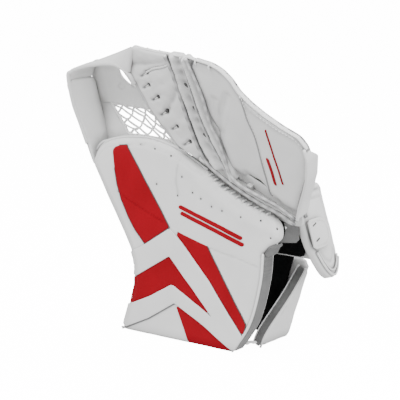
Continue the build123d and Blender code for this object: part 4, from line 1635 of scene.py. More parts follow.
# ---- Pocket: side wall, T band, web, net and floor -------------------------------------------
@dataclass
class Pocket:
    """The deep basket between thumb and fingers."""

    side_front: Outline = ((-128.5, 1, 206), (-134, 0, 214), (-140, -5, 238), (-143, -15, 266),
                           (-144.5, -26, 293),
                           (-145.5, -34, 314), (-144, -36, 324))
    side_back: Outline = ((-126, 36, 208), (-133, 36.5, 220), (-139, 36.5, 240), (-143.5, 34, 262),
                          (-147, 29, 284),
                          (-148.5, 21.5, 312), (-148.5, 19, 322))
    tee_front: Outline = ((-145, -35, 320), (-143.5, -36, 328), (-138, -36, 334.5), (-130, -36, 338.5),
                          (-114, -36, 343.5),
                          (-98, -36, 347), (-82, -36, 349), (-66, -38, 350), (-52, -43, 348.5),
                          (-40, -47.5, 345.5),
                          (-30, -50.5, 341))
    tee_back: Outline = ((-148.5, 19, 322), (-146.5, 17, 331), (-141, 15, 338), (-131, 13, 342.5),
                         (-114, 10, 347.5),
                         (-98, 7, 352), (-82, 2.5, 359), (-68, -6, 365), (-50, -22, 370), (-32, -43, 374),
                         (-8, -70, 379))
    web_origin: Outline = (-140, 29, 287)
    web_lean: float = 18.0
    web: Outline = ((-9, -2), (10, 1), (40, -1), (75, -5), (73, 10), (61, 27), (56, 27), (45, 34), (39, 42),
                    (37, 61),
                    (16, 60), (1, 61), (-9, 54), (-12, 38), (-10, 14))
    tee_bend: tuple[Points, Points] = (row(-80, -30, 345), row(-34, -50, 350))
    wall: float = 7.0
    band: float = 5.0
    emblem: Outline = ((30, 26), (36, 31), (42, 26), (36, 21))
    net_plane: float = 32.5
    net_corners: Outline = ((-129, 287), (-65, 285), (-15, 236), (-100, 250))
    net_columns: int = 7
    net_rows: int = 6
    back_net_rows: int = 9
    cord: float = 1.3
    pad_back: float = 11.0

    def build(self) -> None:
        """Builds every piece of the pocket."""
        self.side()
        self.tee()
        self.back()
        self.net()
        self.upper_net()
        self.floor()

    def side(self) -> None:
        """The leather side wall from the thumb's tip up to the T."""
        front, back = sampled(self.side_front, 3.0), sampled(self.side_back, 3.0)
        count = min(len(front), len(back))
        front, back = (resampled(edge, count) for edge in (front, back))
        surface, length, width = loft_surface(front, back, -1.5)
        edge_line = pairs(0, 4.0, length, 4.0)

        def relief(s: Points, t: Points) -> Points:
            """A sewn hem along the front edge and soft unevenness."""
            return groove(s, t, edge_line, 1.4, 0.5) + waves(s, t, 0.6, 70.0, 71)

        wall = Panel("pocket_side_leather", bands(rectangle(0, length, 0, width, 2.0)), surface, self.wall,
                     3.0, 2.4,
                     relief, uneven(0.6, 70.0, 72)).build()
        finish_piece(wall, Body.CUFF, Slot.WHITE, ("pocket_side_wall",))

    def tee(self) -> None:
        """The T's top band, with the piped rim that runs round its front edge."""
        count = 60
        front, back = (resampled(sampled(edge, 2.0), count) for edge in (self.tee_front, self.tee_back))
        surface, length, width = loft_surface(front, back, 1.2)
        band = Panel("tee_band_leather", bands(rectangle(0, length, 0, width, 2.0)), surface, self.band, 2.2,
                     2.2,
                     uneven(0.5, 60.0, 73), uneven(0.5, 60.0, 74)).build()
        bend_between(band, Body.CUFF, Body.FINGERS, *self.tee_bend)
        dress(band, Slot.WHITE, ("tee_top_band",))
        rim = np.vstack([np.asarray(self.side_front, float)[2:-2], np.asarray(self.tee_front, float)[1:],
                         row(-28, -45, 331).reshape(1, 3)])
        rim = sampled(rim, 2.0)
        piping = tube("pocket_rim_piping", rim, np.linspace(2.4, 3.0, len(rim)), 14)
        bend_between(piping, Body.CUFF, Body.FINGERS, *self.tee_bend)
        dress(piping, Slot.WHITE)

    def web_surface(self, out: float = 0.0) -> Surface:
        """The leaning back of the pocket, read as (x from its origin, distance up it)."""
        lean = math.radians(self.web_lean)
        up, normal = row(0, -math.sin(lean), math.cos(lean)), row(0, -math.cos(lean), -math.sin(lean))
        return plane_surface(row(*self.web_origin) - normal * (2.6 - out), row(1, 0, 0), up)

    def back(self) -> None:
        """The T's leather web with its plain diamond emboss, and the gusset below it."""
        outline = rounded(self.web, 5.0)
        dished = self.web_surface()

        def relief(x: Points, y: Points) -> Points:
            """The sewn hem, the emboss and soft unevenness."""
            hem = shrunk(outline, 0.9)
            total = groove(x, y, hem, 1.2, 0.5, True) + waves(x, y, 0.7, 50.0, 75)
            return total + groove(x, y, pairs(*np.ravel(self.emblem)), 1.0, 0.8, True)

        web = Panel("tee_web_leather", bands(outline), dished, 4.0, 1.8, 2.0, relief, relief).build()
        finish_piece(web, Body.CUFF, Slot.WHITE, ("tee_web",))
        corner = rounded(((-140, 238), (-146, 262), (-150, 290), (-131, 295), (-119, 270), (-104, 254),
                          (-92, 247),
                          (-100, 240)), 4.0)
        gusset = Panel("thumb_side_gusset", bands(corner), facing(33.5), 3.4, 1.5, 2.0,
                       uneven(0.6, 40.0, 76)).build()
        finish_piece(gusset, Body.CUFF, Slot.WHITE)

    def upper_net(self) -> None:
        """The net behind the laced strip, from the web's edge to the strip's edge."""
        count = self.back_net_rows
        on_web = self.web_surface()(*pairs(75, -5, 73, 10, 61, 27, 45, 34, 38, 48, 37, 58).T)
        near = resampled(np.vstack([row(-15, 33, 237).reshape(1, 3), on_web]), count)
        strip = FingerSection().plane(-7.0)
        far = resampled(strip(*pairs(-40, 11, -65, 27, -89, 45, -112, 74, -121, 88, -120, 112).T), count)
        places = np.zeros((count, count, 3))
        for i in range(count):
            share = np.linspace(0, 1, count)[:, None]
            sag = row(0, 1, 0) * 14.0 * np.sin(math.pi * share) * math.sin(math.pi * (i + 1) / (count + 1))
            places[:, i] = near[i] * (1 - share) + far[i] * share + sag
        parts = []
        for j in range(count):
            for i in range(count):
                if (i + j) % 2:
                    continue
                parts.append(ball("knot", places[j, i], row(1.9, 1.8, 1.9), 8))
                for across, along in ((1, 1), (1, -1)):
                    if j + across < count and 0 <= i + along < count:
                        parts.append(self.strand(places[j, i], places[j + across, i + along], len(parts)))
        net = joined("pocket_back_net", parts)
        bend_between(net, Body.CUFF, Body.FINGERS, near[3] * 0.5 + near[4] * 0.5, far[3] * 0.5 + far[4] * 0.5)
        dress(net, Slot.LACE)

    def knots(self) -> Points:
        """The net's knots: rows and columns over its four corners, each a little out of line."""
        a, b, c, d = (np.array(p, float) for p in self.net_corners)
        draw = np.random.default_rng(7)
        places = np.zeros((self.net_rows + 1, self.net_columns + 1, 3))
        for j in range(self.net_rows + 1):
            for i in range(self.net_columns + 1):
                s, t = i / self.net_columns, j / self.net_rows
                flat = (1 - t) * ((1 - s) * a + s * b) + t * ((1 - s) * d + s * c)
                inner = 0 < i < self.net_columns and 0 < j < self.net_rows
                shift = draw.uniform(-2.2, 2.2, 2) if inner else np.zeros(2)
                sag = 5.0 * math.sin(math.pi * s) * math.sin(math.pi * t)
                places[j, i] = (flat[0] + shift[0], self.net_plane + sag, flat[1] + shift[1])
        return places

    def net(self) -> None:
        """The knotted lace net: two families of slanting laces, a border lace and knots."""
        places = self.knots()
        parts = []
        rows, columns = self.net_rows, self.net_columns
        for j in range(rows + 1):
            for i in range(columns + 1):
                for step in (1, -1):
                    if (i + j) % 2 == 0 and 0 <= i + step <= columns and j < rows:
                        parts.append(self.strand(places[j, i], places[j + 1, i + step], len(parts)))
                    if (i + j) % 2 == 0 and 0 <= i + step <= columns and j > 0:
                        parts.append(self.strand(places[j, i], places[j - 1, i + step], len(parts)))
                if (i + j) % 2 == 0:
                    parts.append(ball("knot", places[j, i], row(1.9, 1.7, 1.8), 8))
        border = np.vstack([places[0], places[1:, -1], places[-1, -2::-1], places[-2::-1, 0]])
        parts.append(tube("border", sampled(border, 2.0), 1.8, 10))
        net = joined("pocket_lace_net", parts)
        bend_between(net, Body.CUFF, Body.FINGERS, row(-62, 32, 262), row(-6, 26, 240))
        dress(net, Slot.LACE, ("pocket_net",))

    def strand(self, start: Points, end: Points, index: int) -> bpy.types.Object:
        """One lace between two knots, slightly slack."""
        draw = np.random.default_rng(100 + index)
        middle = (start + end) / 2 + row(0, 1.2, -1.4) * draw.uniform(0.3, 1.4)
        return tube("strand", sampled([start, middle, end], 2.4), self.cord, 8)

    def floor(self) -> None:
        """The leather strip between the pad's arch and the foot of the net."""
        line = sampled(((-134, 226), (-122, 239), (-96, 246), (-60, 246), (-30, 243), (-2, 236)), 3.0)
        path = at_depth(line, 4.0)
        surface, length = ribbon_surface(path, row(0, 1, 0.02))
        strip = Panel("pocket_floor_leather", bands(rectangle(0, length, 0, 32.0, 2.0)), surface, 4.0, 1.8,
                      2.6,
                      uneven(0.5, 60.0, 77), uneven(0.5, 60.0, 78)).build()
        finish_piece(strip, Body.CUFF, Slot.WHITE, ("pocket_floor",))
        edge = on_surface(surface, pairs(*np.ravel([(s, 31.5) for s in np.linspace(1, length - 1, 50)])), 1.4)
        finish_piece(tube("net_foot_lace", edge, 1.6, 8), Body.CUFF, Slot.LACE)


# ---- Finger section --------------------------------------------------------------------------
@dataclass
class FingerSection:
    """The laced palm strip, the rolls along the break, the finger panel and the finger stalls."""

    point: tuple[float, float, float] = (54.0, -11.0, 227.0)
    slope: float = 22.7
    lean: float = 27.0
    depth: float = 19.0
    panel: Outline = ((-27, 164), (-16, 142), (5, 97), (23, 70), (51, 10), (149, 9), (151, 40), (159, 91),
                      (158, 124), (153, 137), (141, 145), (114, 144), (88, 146), (68, 150), (49, 157),
                      (37, 168),
                      (22, 174), (6, 174))
    ridge: Outline = ((-27, 157), (-15, 144), (-2, 120), (5, 97), (13, 80), (23, 69), (34, 44), (42, 24),
                      (51, 13))
    seam: Outline = ((52, 162), (61, 144), (67, 128), (77, 111), (84, 95), (89, 81), (96, 61), (103, 40),
                     (108, 20))
    side: Outline = ((149, 18), (151, 40), (155.5, 66), (159, 91), (158.8, 108), (158, 124), (153, 136))
    tip: Outline = ((156, 130), (153, 137), (141, 145), (114, 144), (88, 146), (68, 150), (49, 157),
                    (37, 168),
                    (22, 174), (6, 174), (-26, 165), (-63, 149), (-96, 135), (-117, 127))
    strip: Outline = ((-39, 8), (-66, 24), (-90, 42), (-115, 72), (-125.5, 82), (-122.5, 127.5), (-96, 136),
                      (-63, 150),
                      (-47, 116), (-38, 97), (-29, 77), (-20, 55), (-8, 32), (6, 16), (2, 8))
    inner_roll: Outline = ((-64, 150), (-46, 117), (-38, 97), (-30, 77), (-20, 55), (-8, 32), (6.5, 14),
                           (37, 10),
                           (29, 32), (6, 59), (-12, 92), (-26, 129), (-38, 162))
    outer_roll: Outline = ((-39, 161), (-26, 129), (-12, 92), (6, 59), (29, 32), (38, 11), (60, 6.5),
                           (100, 5.5),
                           (149, 9), (149, 16), (100, 14), (58, 16), (51, 18), (23, 70), (5, 97), (-28, 166))
    holes: Outline = ((-96, 100), (-93, 82), (-78, 71), (-64, 55), (-46, 42), (-25, 29.5), (-4, 18.5))
    gusset: Outline = ((-46, 2), (-20, -9), (10, -17), (50, -24), (90, -21), (132, -13), (149, -4), (150, 8),
                       (146, 24), (10, 26), (-28, 40), (-58, 34))
    stalls: tuple[float, float, float, int] = (-22.0, 14.0, 100.0, 4)
    stall_fall: float = 0.19
    tip_depth: float = 6.5
    pitch: float = 31.0
    stall_depth: float = 26.0
    stall_wall: float = 4.0
    cover: float = 7.0

    def axes(self) -> tuple[Points, Points, Points]:
        """The directions along the break, along the fingers, and out of the palm."""
        slope, lean = math.radians(self.slope), math.radians(self.lean)
        along = row(math.cos(slope), 0, -math.sin(slope))
        across = row(math.sin(slope), 0, math.cos(slope))
        normal = row(0, -1, 0) * math.cos(lean) - across * math.sin(lean)
        return along, np.cross(normal, along), normal

    def plane(self, out: float = 0.0) -> Surface:
        """The finger plane moved out of the palm, read as (along the break, along the fingers)."""
        along, up, normal = self.axes()
        return plane_surface(row(*self.point) + normal * out, along, up)

    def world(self, path: Points) -> Points:
        """Points given as (along the break, along the fingers, out of the palm) brought to the frame."""
        along, up, normal = self.axes()
        return row(*self.point) + path[:, :1] * along + path[:, 1:2] * up + path[:, 2:] * normal

    def back_plane(self, out: float) -> Surface:
        """The same plane from the back of the hand, read as (minus along the break, along the fingers)."""
        along, up, normal = self.axes()
        return plane_surface(row(*self.point) + normal * out, -along, up)

    def dish(self, u: Points, v: Points) -> Points:
        """The finger panel's hollow beside the seam, its crown outside the seam, and its creases."""
        line = sampled(self.seam, 2.0)
        seam_u = np.interp(v, line[:, 1], line[:, 0]) if line[0, 1] < line[-1, 1] else np.interp(
            v, line[::-1, 1], line[::-1, 0])
        ridge = sampled(self.ridge, 2.0)[::-1]
        ridge_u = np.interp(v, ridge[:, 1], ridge[:, 0])
        left = np.clip((seam_u - u) / np.maximum(seam_u - ridge_u, 1), 0, 1)
        hollow = -(3.5 + 6.0 * np.clip(1 - v / 150, 0, 1)) * np.sin(math.pi * left**0.85)
        right = np.clip((u - seam_u) / np.maximum(156 - seam_u, 1), 0, 1)
        crown = 1.6 * np.sin(math.pi * right) - 2.2 * right**3
        total = np.where(u < seam_u, hollow, crown)
        total += groove(u, v, line, 1.5, 0.7)
        total += groove(u, v, pairs(12, 122, 13, 108, 17, 90, 21, 76), 5.0, 2.6)
        total += groove(u, v, pairs(32, 141, 27, 118, 24, 96, 21, 76), 5.0, 2.0)
        for start, end, deep in (((46, 26), (60, 12), 3.0), ((62, 30), (72, 12), 2.2),
                                 ((80, 26), (84, 12), 2.0),
                                 ((118, 30), (124, 18), 2.0)):
            total += groove(u, v, pairs(*start, *end), 3.0, deep)
        total -= 12.0 * np.exp(-((v - 13) / 13.0) ** 2) * np.clip((u - 40) / 30, 0.4, 1)
        return total + waves(u, v, 0.7, 90.0, 81)

    def taper(self, u: Points, v: Points) -> Points:
        """How the panel's back thins towards the finger tips."""
        away, _ = nearest_on_line(u, v, sampled(self.tip, 3.0, smooth=False), False)
        return waves(u, v, 0.6, 80.0, 82) - np.maximum(self.depth - self.tip_depth - 0.8 * away, 0)

    def build(self) -> None:
        """Builds every piece of the finger section."""
        middle = self.plane(-self.depth / 2)
        panel = Panel("finger_palm_leather", bands(rounded(self.panel, 5.0), 2.0), middle, self.depth, 5.0,
                      1.9,
                      self.dish, self.taper, 5).build()
        finish_piece(panel, Body.FINGERS, Slot.WHITE,
                     ("finger_palm_skin", "finger_foam", "finger_board_insert"))
        self.decoration()
        self.rolls()
        self.palm_strip()
        self.edges()
        self.break_gusset()
        self.back_of_hand()

    def break_gusset(self) -> None:
        """The soft leather that joins the fingers to the pad behind the rolls."""
        outline = rounded(self.gusset, 4.0)
        gusset = Panel("break_gusset_leather", bands(outline), self.plane(-11.5), 2.6, 1.2, 2.4,
                       uneven(0.5, 40.0, 99)).build()
        up = self.axes()[1]
        base = row(*self.point)
        bend_between(gusset, Body.CUFF, Body.FINGERS, base - up * 12, base + up * 9)
        dress(gusset, Slot.WHITE)


    def skin(self) -> Surface:
        """The finger panel's dished front surface."""
        flat = self.plane(0.0)
        normal = self.axes()[2]
        return lambda u, v: flat(u, v) + np.outer(self.dish(u, v), normal)

    def decoration(self) -> None:
        """The raised welt down the seam, stitching, and a plain red double stripe."""
        skin = self.skin()
        seam = sampled(self.seam, 2.0)[3:-2]
        welt = tube("finger_seam_welt", on_surface(skin, seam, 0.3), 1.2, 8)
        finish_piece(welt, Body.FINGERS, Slot.WHITE)
        rows = [stitches("beside_seam", on_surface(skin, seam + row(3.0, 0), 0.15))]
        inner = rounded(self.panel, 6.0)
        inner = shrunk(inner, 0.955)
        right = inner[(inner[:, 0] > 80) & (inner[:, 1] > 40)]
        rows.append(stitches("edge_row", on_surface(skin, sampled(right, 2.0, smooth=False), 0.15)))
        finish_piece(joined("finger_panel_stitching", rows), Body.FINGERS, Slot.LACE)
        for name, start, end, half in (("long", (96, 132), (127, 62), 1.4),
                                       ("short", (101, 88), (115, 55), 2.4)):
            one, two = row(*start), row(*end)
            side = row(two[1] - one[1], one[0] - two[0])
            side /= np.linalg.norm(side)
            slant = (two - one) / np.linalg.norm(two - one) * 2.5
            outline = np.array([one - side * half, two - side * half + slant, two + side * half,
                                one + side * half - slant])
            stripe = Panel(f"finger_stripe_{name}", bands(outline), skin, 1.8, 0.6, 0.6)
            finish_piece(stripe.build(), Body.FINGERS, Slot.RED)

    def rolls(self) -> None:
        """The two padded rolls from the tip round to the heel, pulled in where the lace passes."""
        crest_in = sampled(((-56, 156), (-41, 117), (-31, 95), (-22, 76), (-11, 53), (3, 31), (20, 14)), 2.0)
        crest_out = sampled(((-36, 166), (-17, 125), (-4, 95), (14, 65), (36, 34), (46, 14)), 2.0)
        pulls = pairs(-25.3, 121.3, -11.6, 92.4, 5.5, 58.6, 24.0, 34.0)

        def inner(u: Points, v: Points) -> Points:
            """The inner roll: a crest by the strip, a hollow behind it, and puckers at the lace."""
            away, _ = nearest_on_line(u, v, crest_in, False)
            total = 7.5 * np.exp(-((away / 5.5) ** 2)) - 5.5
            total += dimples(u, v, pulls, 2.2, 5.0)
            total += 0.7 * np.sin(v * 0.42 + 1.1 * np.sin(u * 0.21)) * np.exp(-((away - 8) / 6.0) ** 2)
            return total + waves(u, v, 0.7, 35.0, 83)

        def outer(u: Points, v: Points) -> Points:
            """The outer roll: one crest that runs on along the break, and puckers at the lace."""
            away, _ = nearest_on_line(u, v, crest_out, False)
            total = 8.0 * np.exp(-((away / 5.5) ** 2)) - 4.0
            total += dimples(u, v, pulls, 2.4, 5.0)
            return total + waves(u, v, 0.6, 35.0, 84)

        for name, outline, relief, node in (("inner", self.inner_roll, inner, "inner_roll"),
                                            ("outer", self.outer_roll, outer, "outer_roll")):
            roll = Panel(f"{name}_break_roll", bands(rounded(outline, 3.0), 2.0), self.plane(-6.0), 12.0, 3.4,
                         1.5, relief)
            piece = finish_piece(roll.build(), Body.FINGERS, Slot.WHITE, (node,))
        front = self.plane(0.0)
        for name, line, height, thick in (
            ("inner_roll_piping", ((-63, 150), (-52, 132), (-45.5, 116.6), (-37.7, 97), (-29.7, 77),
                                   (-20, 55), (-8, 32),
                                   (7, 15), (32, 8.5), (60, 5.5), (96, 6.0), (124, 10), (146, 9)), 1.2, 2.3),
            ("middle_piping", ((-38, 161), (-26, 130), (-12, 93), (6, 60), (28, 33), (42, 17), (62, 12),
                               (96, 12.5),
                               (124, 17), (146, 14)), 0.6, 1.5),
            ("outer_roll_piping", ((-29, 166), (-14, 143), (-1, 119), (6, 97), (14, 80), (24, 68), (35, 44),
                                   (43, 25),
                                   (53, 17), (70, 15.5), (96, 19), (122, 22), (146, 19)), 1.8, 2.0)):
            flat = sampled(line, 2.0)
            fade = 1.0 + 0.12 * np.sin(np.arange(len(flat)) * 0.9)
            piece = tube(name, on_surface(front, flat, height), thick * fade, 12)
            finish_piece(piece, Body.FINGERS, Slot.WHITE)
        knots = []
        # Dark lace ends and dark balls at the lace holes: painted shade where the lace dives into the roll.
        for index, place in enumerate(pulls[:3]):
            path = sampled([(*(place + row(-5.5, 2.5)), 0.6), (*(place + row(-2, 1)), 0.2),
                            (*(place + row(1.5, -0.6)), -1.5)], 0.8)
            knots.append(tube(f"pull{index}", self.world(path), 1.5, 8))
            spot = on_surface(front, place[None, :], -2.0)[0]
            knots.append(ball(f"hole{index}", spot, row(1.8, 1.8, 1.8), 10))
        laces = joined("roll_lace_hole_shade", knots)
        finish_piece(laces, Body.FINGERS, Slot.EYELET)

    def palm_strip(self) -> None:
        """The laced leather strip beside the pocket, its holes, its laces and its bound edge."""
        holes = self.holes
        lace_line = sampled(((-96, 101), (-84, 114), (-70, 125), (-58, 137)), 2.0)
        fold = pairs(-149, 85, -132, 94, -106, 108, -83, 124, -63, 138)

        def relief(u: Points, v: Points) -> Points:
            """Pulled-in holes with creases towards the pocket, a fold, and a crowned middle."""
            total = dimples(u, v, holes, 2.6, 3.6)
            for u0, v0 in holes:
                crease = pairs(u0, v0, u0 - 9, v0 - 11)
                total += groove(u, v, crease, 2.0, 2.8)
                total += groove(u, v, pairs(u0, v0, u0 + 5, v0 + 8), 2.6, 0.9)
            total += groove(u, v, pairs(-47, 100, -53, 82, -64, 57), 5.0, 2.6)
            total += groove(u, v, lace_line, 2.2, 1.8) + groove(u, v, fold, 4.0, 1.2)
            return total + waves(u, v, 1.1, 45.0, 91)

        strip = Panel("laced_palm_strip", bands(rounded(self.strip, 6.0), 2.0), self.plane(-4.0), 8.0, 3.2,
                      1.6,
                      relief, uneven(0.6, 45.0, 92)).build()
        finish_piece(strip, Body.FINGERS, Slot.WHITE, ("lace_strip",))
        parts, dark = [], []
        for index, (u0, v0) in enumerate(holes):
            path = sampled([(u0, v0, -3.6), (u0 - 0.9, v0 - 1.6, -1.7), (u0 - 3.0, v0 - 4.4, -1.5),
                            (u0 - 5.6, v0 - 7.6, -1.9), (u0 - 7.4, v0 - 10.0, -4.8)], 1.0)
            parts.append(tube(f"lace{index}", self.world(path - row(0, 0, 0.6)), 0.8, 8))
            # A dark ball in each hole: painted shade inside the lace hole.
            spot = self.world(row(u0 + 0.6, v0 + 0.8, -2.3)[None, :])[0]
            dark.append(ball(f"hole{index}", spot, row(2.1, 2.1, 2.0), 10))
        path = np.column_stack([lace_line, np.full(len(lace_line), -1.4)])
        parts.append(tube("top_lace", self.world(path), 1.3, 8))
        finish_piece(joined("palm_strip_laces", parts), Body.FINGERS, Slot.LACE, ("strip_laces",))
        finish_piece(joined("palm_strip_hole_shade", dark), Body.FINGERS, Slot.EYELET)
        edge = sampled(((-127, 80), (-121, 77), (-115, 71), (-107, 60), (-90, 42), (-66, 24), (-41, 9.5)),
                       2.0)
        piping = tube("palm_strip_edge_roll", on_surface(self.plane(-2.4), edge), 3.0, 14)
        finish_piece(piping, Body.FINGERS, Slot.WHITE)

    def edges(self) -> None:
        """The side wall of the panel, its tip band, the white piping and the laces over the tip."""
        normal = self.axes()[2]
        for name, line, node in (("finger_side_band", self.side, "finger_edge_binding"),
                                 ("finger_tip_band", self.tip, "finger_tip_binding")):
            flat = sampled(rounded(line, 4.0)[3:-3] if name == "finger_tip_band" else line, 2.0, smooth=False)
            out = -left_of(flat)
            drop = 0.0 if name == "finger_side_band" else 1.8
            reach = self.depth if name == "finger_side_band" else self.tip_depth
            path = on_surface(self.plane(0.2 - drop), flat + out * 0.6)
            surface, length = ribbon_surface(path, -normal)
            outline = rectangle(0.2, length, 0.0, reach - drop, 2.0)
            if name == "finger_side_band":
                outline = rounded(((0.2, 0), (length, 0), (length, 4.0), (length - 17, reach), (0.2, reach)),
                                  2.0)
            band = Panel(name, bands(outline), surface, 2.4, 1.0, 2.2,
                         uneven(0.5, 30.0, 95), uneven(0.5, 30.0, 95))
            finish_piece(band.build(), Body.FINGERS, Slot.WHITE, (node,))
            if name == "finger_side_band":
                piping = tube("finger_side_piping", on_surface(self.plane(0.6), flat + out * 0.9), 2.1, 10)
                finish_piece(piping, Body.FINGERS, Slot.WHITE)
            else:
                loops = []
                for index in range(int(len(flat) * 0.56), len(flat) - 4, 11):
                    place, away = flat[index], out[index]
                    route = row(*(place - away * 4.4), -1.0, *(place - away * 1.8), -0.9,
                                *(place + away * 0.6), -2.6,
                                *(place + away * 1.0), -6.0).reshape(-1, 3)
                    route = sampled(route, 1.0)
                    loops.append(tube(f"tip_loop{index}", self.world(route), 1.3, 8))
                finish_piece(joined("tip_lace_loops", loops), Body.FINGERS, Slot.LACE)

    def back_of_hand(self) -> None:
        """The finger stalls and the quilted cover over the backs of the fingers."""
        left, low, high, count = self.stalls
        right = left + self.pitch * count
        front = -self.depth
        walls = []
        along, up, normal = self.axes()
        for index in range(count + 1):
            u = left + self.pitch * index
            origin = row(*self.point) + along * u + normal * (front - 0.2)
            surface = plane_surface(origin, up, -normal)
            top = high - self.stall_fall * self.pitch * index
            wall = Panel(f"wall{index}", bands(rectangle(low, top, 0, self.stall_depth - 0.4, 3.0)), surface,
                         self.stall_wall, 1.6, 3.0)
            walls.append(wall.build())
        finish_piece(joined("finger_stall_dividers", walls), Body.FINGERS, Slot.BLACK,
                     ("finger_stall_walls",))
        sloped = (along - up * self.stall_fall) / math.hypot(1.0, self.stall_fall)
        start = up * (high + self.stall_wall / 2) + along * left
        surface = plane_surface(row(*self.point) + start + normal * (front - 0.2), sloped, -normal)
        span = (right - left) * math.hypot(1.0, self.stall_fall)
        tips = Panel("finger_stall_tip_wall", bands(rectangle(-2, span + 2, 0, self.stall_depth - 0.4, 3.0)),
                     surface,
                     self.stall_wall, 1.6, 3.0)
        finish_piece(tips.build(), Body.FINGERS, Slot.BLACK, ("finger_stall_tips",))
        outside = self.back_plane(front - self.stall_depth - self.cover / 2)
        near_top = high + self.stall_wall
        far_top = near_top - self.stall_fall * (right - left)
        outline = rounded(((-right - 2, low), (-left + 2, low), (-left + 2, near_top), (-right - 2, far_top)),
                          12.0)

        seams = [pairs(at, low + 10, at, high - 8 - self.stall_fall * self.pitch * index)
                 for index, at in ((n, -(left + self.pitch * n)) for n in range(1, count))]

        def quilting(u: Points, v: Points) -> Points:
            """Sewn channels between the fingers and a sewn border."""
            total = waves(u, v, 0.5, 60.0, 97)
            for seam in seams:
                total += groove(u, v, seam, 2.4, 2.2)
            inset = shrunk(outline, 0.9)
            return total + groove(u, v, inset, 1.6, 1.0, True)

        cover = Panel("finger_back_pad", bands(outline), outside, self.cover - 1.6, 2.6, 2.2,
                      quilting).build()
        middle = row(*self.point) + normal * (front - self.stall_depth - self.cover / 2)
        cover = stuffed(cover, (middle, -along, up), bands(outline), seams, 2.6, 2.8)
        finish_piece(cover, Body.FINGERS, Slot.WHITE, ("finger_back_cover",))
        rows = []
        for index in range(1, count):
            at = -(left + self.pitch * index)
            line = sampled(((at, low + 12), (at, high - 10 - self.stall_fall * self.pitch * index)), 2.0,
                           smooth=False)
            rows.append(stitches(f"quilt{index}", on_surface(outside, line, self.cover / 2 - 2.6)))
        finish_piece(joined("finger_back_stitching", rows), Body.FINGERS, Slot.LACE)


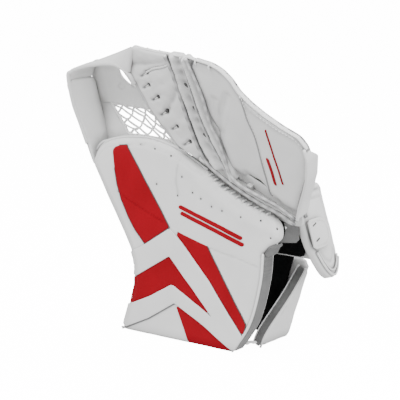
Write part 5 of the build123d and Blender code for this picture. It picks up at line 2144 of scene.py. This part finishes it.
# ---- Backhand pad, its wing and the strap tab -------------------------------------------------
@dataclass
class Backhand:
    """The pad over the back of the hand, whose wing wraps round the little-finger side."""

    front: float = 62.0
    depth: float = 18.0
    low: float = 112.0
    high: float = 204.0
    left: float = 60.0
    channel_heights: tuple[float, float] = (143.0, 173.0)
    wing_lean: float = 17.6
    wing_x: float = 195.5
    wing_z: float = 120.0
    wing_depth: float = 16.0
    wing: Outline = ((80, 96), (34, 96), (26.5, 89), (26.5, 38), (29, 22), (36, 4), (42, -8), (48, -17),
                     (55, -23), (63, -23), (71, -15), (77, -3), (80, 10))
    tab_centre: tuple[float, float] = (47.0, 36.0)
    tab_root: float = 25.5
    tab_width: float = 37.0

    def wing_axes(self) -> tuple[Points, Points]:
        """The wing's upward and outward directions."""
        lean = math.radians(self.wing_lean)
        return row(-math.sin(lean), 0, math.cos(lean)), row(math.cos(lean), 0, math.sin(lean))

    def wing_plane(self, out: float = 0.0) -> Surface:
        """The wing's outer face, read as (y, distance up it), moved outwards."""
        up, normal = self.wing_axes()
        return plane_surface(row(self.wing_x, 0, self.wing_z) + normal * out, row(0, 1, 0), up)

    def inner_x(self, z: float) -> float:
        """Where the wing's inner face stands at height z."""
        lean = math.radians(self.wing_lean)
        return self.wing_x - (z - self.wing_z) * math.tan(lean) - self.wing_depth / math.cos(lean)

    def build(self) -> None:
        """Builds the pad, the wing and their lining."""
        outline = np.array([(-self.left, self.low), (-self.inner_x(self.low) - 6, self.low),
                            (-self.inner_x(self.high) - 6, self.high), (-self.left, self.high)])
        outline = rounded(outline[::-1], 9.0)
        middle = (row(0, self.front + self.depth / 2, 0), *BACK)
        seams = [pairs(-190, height, -55, height) for height in self.channel_heights]

        def channels(x: Points, z: Points) -> Points:
            """Two sewn channels across the pad."""
            total = waves(x, z, 0.8, 70.0, 101)
            for seam in seams:
                total += groove(x, z, seam, 2.8, 2.4)
            return total

        pad = Panel("backhand_cushion", bands(outline), plane_surface(*middle), self.depth - 4.0, 5.0, 2.6,
                    channels,
                    uneven(0.6, 60.0, 102)).build()
        pad = stuffed(pad, middle, bands(outline), seams, 4.0, 3.2)
        finish_piece(pad, Body.BACKHAND, Slot.WHITE, ("backhand_pad",))
        lining = Panel("backhand_inner_cloth",
                       bands(rounded(((64, 116), (158, 116), (148, 198), (64, 198)), 8.0)),
                       facing(self.front - 1.2), 2.0, 0.8, 3.4, uneven(0.7, 40.0, 103))
        finish_piece(lining.build(), Body.BACKHAND, Slot.BLACK, ("backhand_lining",))
        self.wing_pad()

    def wing_pad(self) -> None:
        """The rounded wing with the two sewn lines inside its rim."""
        outline = bands(rounded(self.wing, 5.0))
        inset = shrunk(outline, 0.84)
        second = shrunk(outline, 0.68)

        def relief(y: Points, s: Points) -> Points:
            """The sewn lines, a crowned middle and soft unevenness."""
            away, _ = nearest_on_line(y, s, outline, True)
            return (groove(y, s, inset, 2.0, 2.2, True) + groove(y, s, second, 1.8, 1.5, True)
                    + 1.4 * np.clip(away / 20, 0, 1) - 1.0 + waves(y, s, 0.6, 45.0, 105))

        middle = self.wing_plane(-self.wing_depth / 2)
        wing = Panel("backhand_wing_cushion", outline, middle, self.wing_depth, 5.5, 2.0, relief,
                     uneven(0.5, 45.0, 106)).build()
        finish_piece(wing, Body.BACKHAND, Slot.WHITE, ("backhand_wing",))
        rim = sampled(np.vstack([pairs(26.5, 80, 26.5, 38), pairs(*np.ravel(self.wing[4:12]))]), 2.0)
        face = self.wing_plane(0.0)
        tubes = []
        for share, thick in ((0.93, 1.5), (0.84, 1.2)):
            line = outline.mean(0) + (rim - outline.mean(0)) * share
            reach = self.tab_width / 2 + 3.0
            over = int(np.argmax(line[:, 1] < self.tab_centre[1] + reach))
            under = int(np.argmax(line[:, 1] < self.tab_centre[1] - reach))
            for part in (line[:over], line[under:]):
                tubes.append(tube("line", on_surface(face, part, 0.1 + (1 - share) * 5.0), thick, 10))
        finish_piece(joined("wing_edge_piping", tubes), Body.BACKHAND, Slot.WHITE)
        centre = row(*self.tab_centre)
        patch = Panel("wing_hook_patch",
                      bands(rectangle(centre[0] - 11, centre[0] + 11, centre[1] - 12, centre[1] + 12, 3)),
                      self.wing_plane(0.5), 1.0, 0.4, 2.0)
        finish_piece(patch.build(), Body.BACKHAND, Slot.HOOK, ("hook_patch",))

    def tab(self) -> None:
        """The strap tab with its rounded end, its sewn border, dark strokes of painted shadow by its root,
        and its loop patch.
        """
        out = 2.4
        y0, half = self.tab_root, self.tab_width / 2
        cy, cs = self.tab_centre
        turn = np.radians(np.linspace(-90, 90, 19))
        outline = np.vstack([pairs(y0, cs - half, cy, cs - half),
                             np.column_stack([cy + half * np.cos(turn), cs + half * np.sin(turn)])[1:-1],
                             pairs(cy, cs + half, y0, cs + half)])
        outline = bands(outline, 2.0)
        inset = shrunk(outline, 0.82)

        def relief(y: Points, s: Points) -> Points:
            """A sewn border."""
            return groove(y, s, inset, 1.2, 0.5, True) + waves(y, s, 0.3, 25.0, 107)

        surface = self.wing_plane(out + 1.5)
        tab = Panel("strap_tab_leather", outline, surface, 3.0, 1.3, 1.5, relief).build()
        finish_piece(tab, Body.TAB, Slot.WHITE, ("strap_tab",))
        sewn = stitches("strap_tab_stitching", on_surface(surface, np.vstack([inset, inset[:1]]), 1.4), 2.4,
                        1.4, 0.35)
        finish_piece(sewn, Body.TAB, Slot.LACE)
        # Dark strokes by the tab's root: painted shadow where the strap pinches the pad.
        root_shadows = []
        for s0 in (cs - 9.0, cs + 10.0):
            line = sampled(((y0 + 7, s0), (y0 + 14, s0 + 2.5)), 1.0, smooth=False)
            root_shadows.append(tube("root_shadow", on_surface(surface, line, 1.3), 0.9, 8))
        finish_piece(joined("strap_tab_root_shadows", root_shadows), Body.TAB, Slot.EYELET)
        patch = Panel("tab_loop_patch", bands(rectangle(cy - 11, cy + 11, cs - 12, cs + 12, 3.0)),
                      self.wing_plane(out - 0.5), 0.9, 0.4, 2.0)
        finish_piece(patch.build(), Body.TAB, Slot.HOOK, ("loop_patch",))


def main() -> None:
    """Builds the glove's sub-assemblies in order."""
    logging.basicConfig(level=logging.INFO, format="%(message)s")
    Studio().build()
    ThumbCuffPad().build()
    Cuff().build()
    hand = HandSpace()
    hand.build()
    hand.strap()
    Pocket().build()
    FingerSection().build()
    backhand = Backhand()
    backhand.build()
    backhand.tab()
    deselect()


if __name__ == "__main__":
    main()
